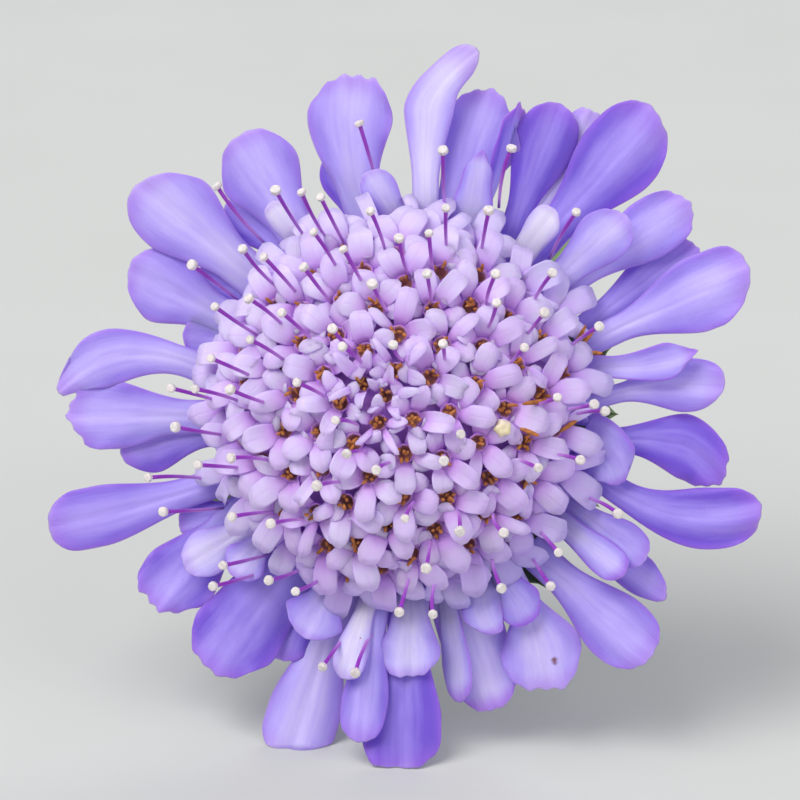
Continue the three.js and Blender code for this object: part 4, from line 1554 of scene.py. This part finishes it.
class SCABIOSA_OT_styles(bpy.types.Operator):
    """Makes the purple styles with their pale, flattened heads"""

    bl_idname = "scabiosa.styles"
    bl_label = "Styles"

    def execute(self, context):
        draw = random.Random(SEEDS["styles"])
        sizes, colours = settings(context)
        thread = rod("thread", 7, 7, "NGON", AHEAD)
        leave_edit()
        head = self.stigma_model()
        threads, heads = [], []
        thick = sizes.style_thickness / METRES / 2
        wide = sizes.stigma_width / METRES / 2
        for pixel in STIGMA_PIXELS:
            tip = seen_at(pixel, stigma_height)
            root = on_dome(self.root_pixel(pixel), -STYLE["sunk"])
            bend = [draw.uniform(-STYLE["spread"], STYLE["spread"]) for _ in range(2)]
            bulge = UP * STYLE["bulge"] + Vector((*bend, 0))
            line = bent_line(root, (root + tip) / 2 + bulge, tip)
            style = copy_of(thread, "style")
            paint_by(style, "along", lambda co: co.y)

            def shape(co):
                radius = thick * (STYLE["root"] + STYLE["swell"] * co.y)
                return Vector((co.x * radius, co.y, co.z * radius))

            reshape(style, shape)
            lay_along(style, line)
            threads.append(style)
            end, forward = line(1.0)
            tilt = Vector((draw.uniform(-1, 1), draw.uniform(-1, 1), draw.uniform(0, 1))) * 0.3
            grow = wide * draw.uniform(0.85, 1.1)
            stands = Matrix.Translation(end) @ towards(forward + tilt) @ stretched(grow, grow)
            heads.append(copy_of(head, "stigma", stands))
        discard(thread, head)
        hand_over(join(threads, "styles"), HEAD, style_skin("style thread", colours), "disc_petal")
        cream = grained_skin(
            "stigma", colours.stigma, darker(colours.stigma, 0.7), 3200, 0.7, 0.12
        )
        hand_over(join(heads, "stigmas"), HEAD, cream, "disc_petal")
        return {"FINISHED"}

    def root_pixel(self, pixel):
        """The pixel at which the style whose head shows at a pixel comes out of the florets."""
        right = pixel[0] - MIDDLE_PIXEL[0]
        down = pixel[1] - MIDDLE_PIXEL[1]
        left = (LEFT_SIDE["starts"] - pixel[0]) / (LEFT_SIDE["starts"] - LEFT_SIDE["whole"])
        left = min(1, max(0, left))
        root_right = right * STYLE_PULL["share"] + STYLE_PULL["right"] * PIXELS_PER_MM
        root_down = down * STYLE_PULL["share"] + STYLE_PULL["down"] * PIXELS_PER_MM
        left_down = STYLE_PULL["left_down"] * PIXELS_PER_MM
        root_down += left * (left_down + STYLE_PULL["left_share"] * max(0, down))
        return MIDDLE_PIXEL[0] + root_right, MIDDLE_PIXEL[1] + root_down

    def stigma_model(self):
        """A flattened, rough drum with round edges, 2 across."""
        head = plain("stigma head", "cylinder", vertices=12, radius=1, depth=STIGMA["depth"])
        edit_all()
        bpy.ops.mesh.bevel(offset=STIGMA["bevel"], segments=2, affect="EDGES")
        select_faces(head, lambda middle: abs(middle.z) > 0.49 * STIGMA["depth"])
        bpy.ops.mesh.inset(thickness=STIGMA["inset"])
        leave_edit()

        def roughen(co):
            return co * (1 + STIGMA["rough"] * noise.noise(co * 2.3)) - UP * STIGMA["drop"]

        reshape(head, roughen)
        return head


# ---- Panel and start ----

OPERATORS = [
    SCABIOSA_OT_studio,
    SCABIOSA_OT_stalk,
    SCABIOSA_OT_involucre,
    SCABIOSA_OT_ray_florets,
    SCABIOSA_OT_disc_corollas,
    SCABIOSA_OT_anthers,
    SCABIOSA_OT_styles,
]


class SCABIOSA_PT_panel(bpy.types.Panel):
    """Lists the flower's pieces, sizes and colours"""

    bl_idname = "SCABIOSA_PT_panel"
    bl_label = "Scabiosa"
    bl_space_type = "VIEW_3D"
    bl_region_type = "UI"
    bl_category = "Scabiosa"

    def draw(self, context):
        for operator in OPERATORS:
            self.layout.operator(operator.bl_idname)
        for group in settings(context):
            column = self.layout.column()
            for name in group.bl_rna.properties.keys():
                if name not in ("rna_type", "name"):
                    column.prop(group, name)


CLASSES = [ScabiosaSizes, ScabiosaColours, *OPERATORS, SCABIOSA_PT_panel]


def register():
    """Adds the flower's classes and settings to Blender."""
    for each in CLASSES:
        bpy.utils.register_class(each)
    bpy.types.Scene.scabiosa_sizes = bpy.props.PointerProperty(type=ScabiosaSizes)
    bpy.types.Scene.scabiosa_colours = bpy.props.PointerProperty(type=ScabiosaColours)


def unregister():
    """Takes the flower's classes and settings out of Blender."""
    del bpy.types.Scene.scabiosa_colours
    del bpy.types.Scene.scabiosa_sizes
    for each in reversed(CLASSES):
        bpy.utils.unregister_class(each)


def main():
    """Makes the whole flower in its studio."""
    register()
    bpy.ops.scabiosa.studio()
    bpy.ops.scabiosa.stalk()
    bpy.ops.scabiosa.involucre()
    bpy.ops.scabiosa.ray_florets()
    bpy.ops.scabiosa.disc_corollas()
    bpy.ops.scabiosa.anthers()
    bpy.ops.scabiosa.styles()
    boxes = {"cad": CAD_BOX, "visual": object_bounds()}
    {name: [list(corner) for corner in box] for name, box in boxes.items()}


if __name__ == "__main__":
    main()
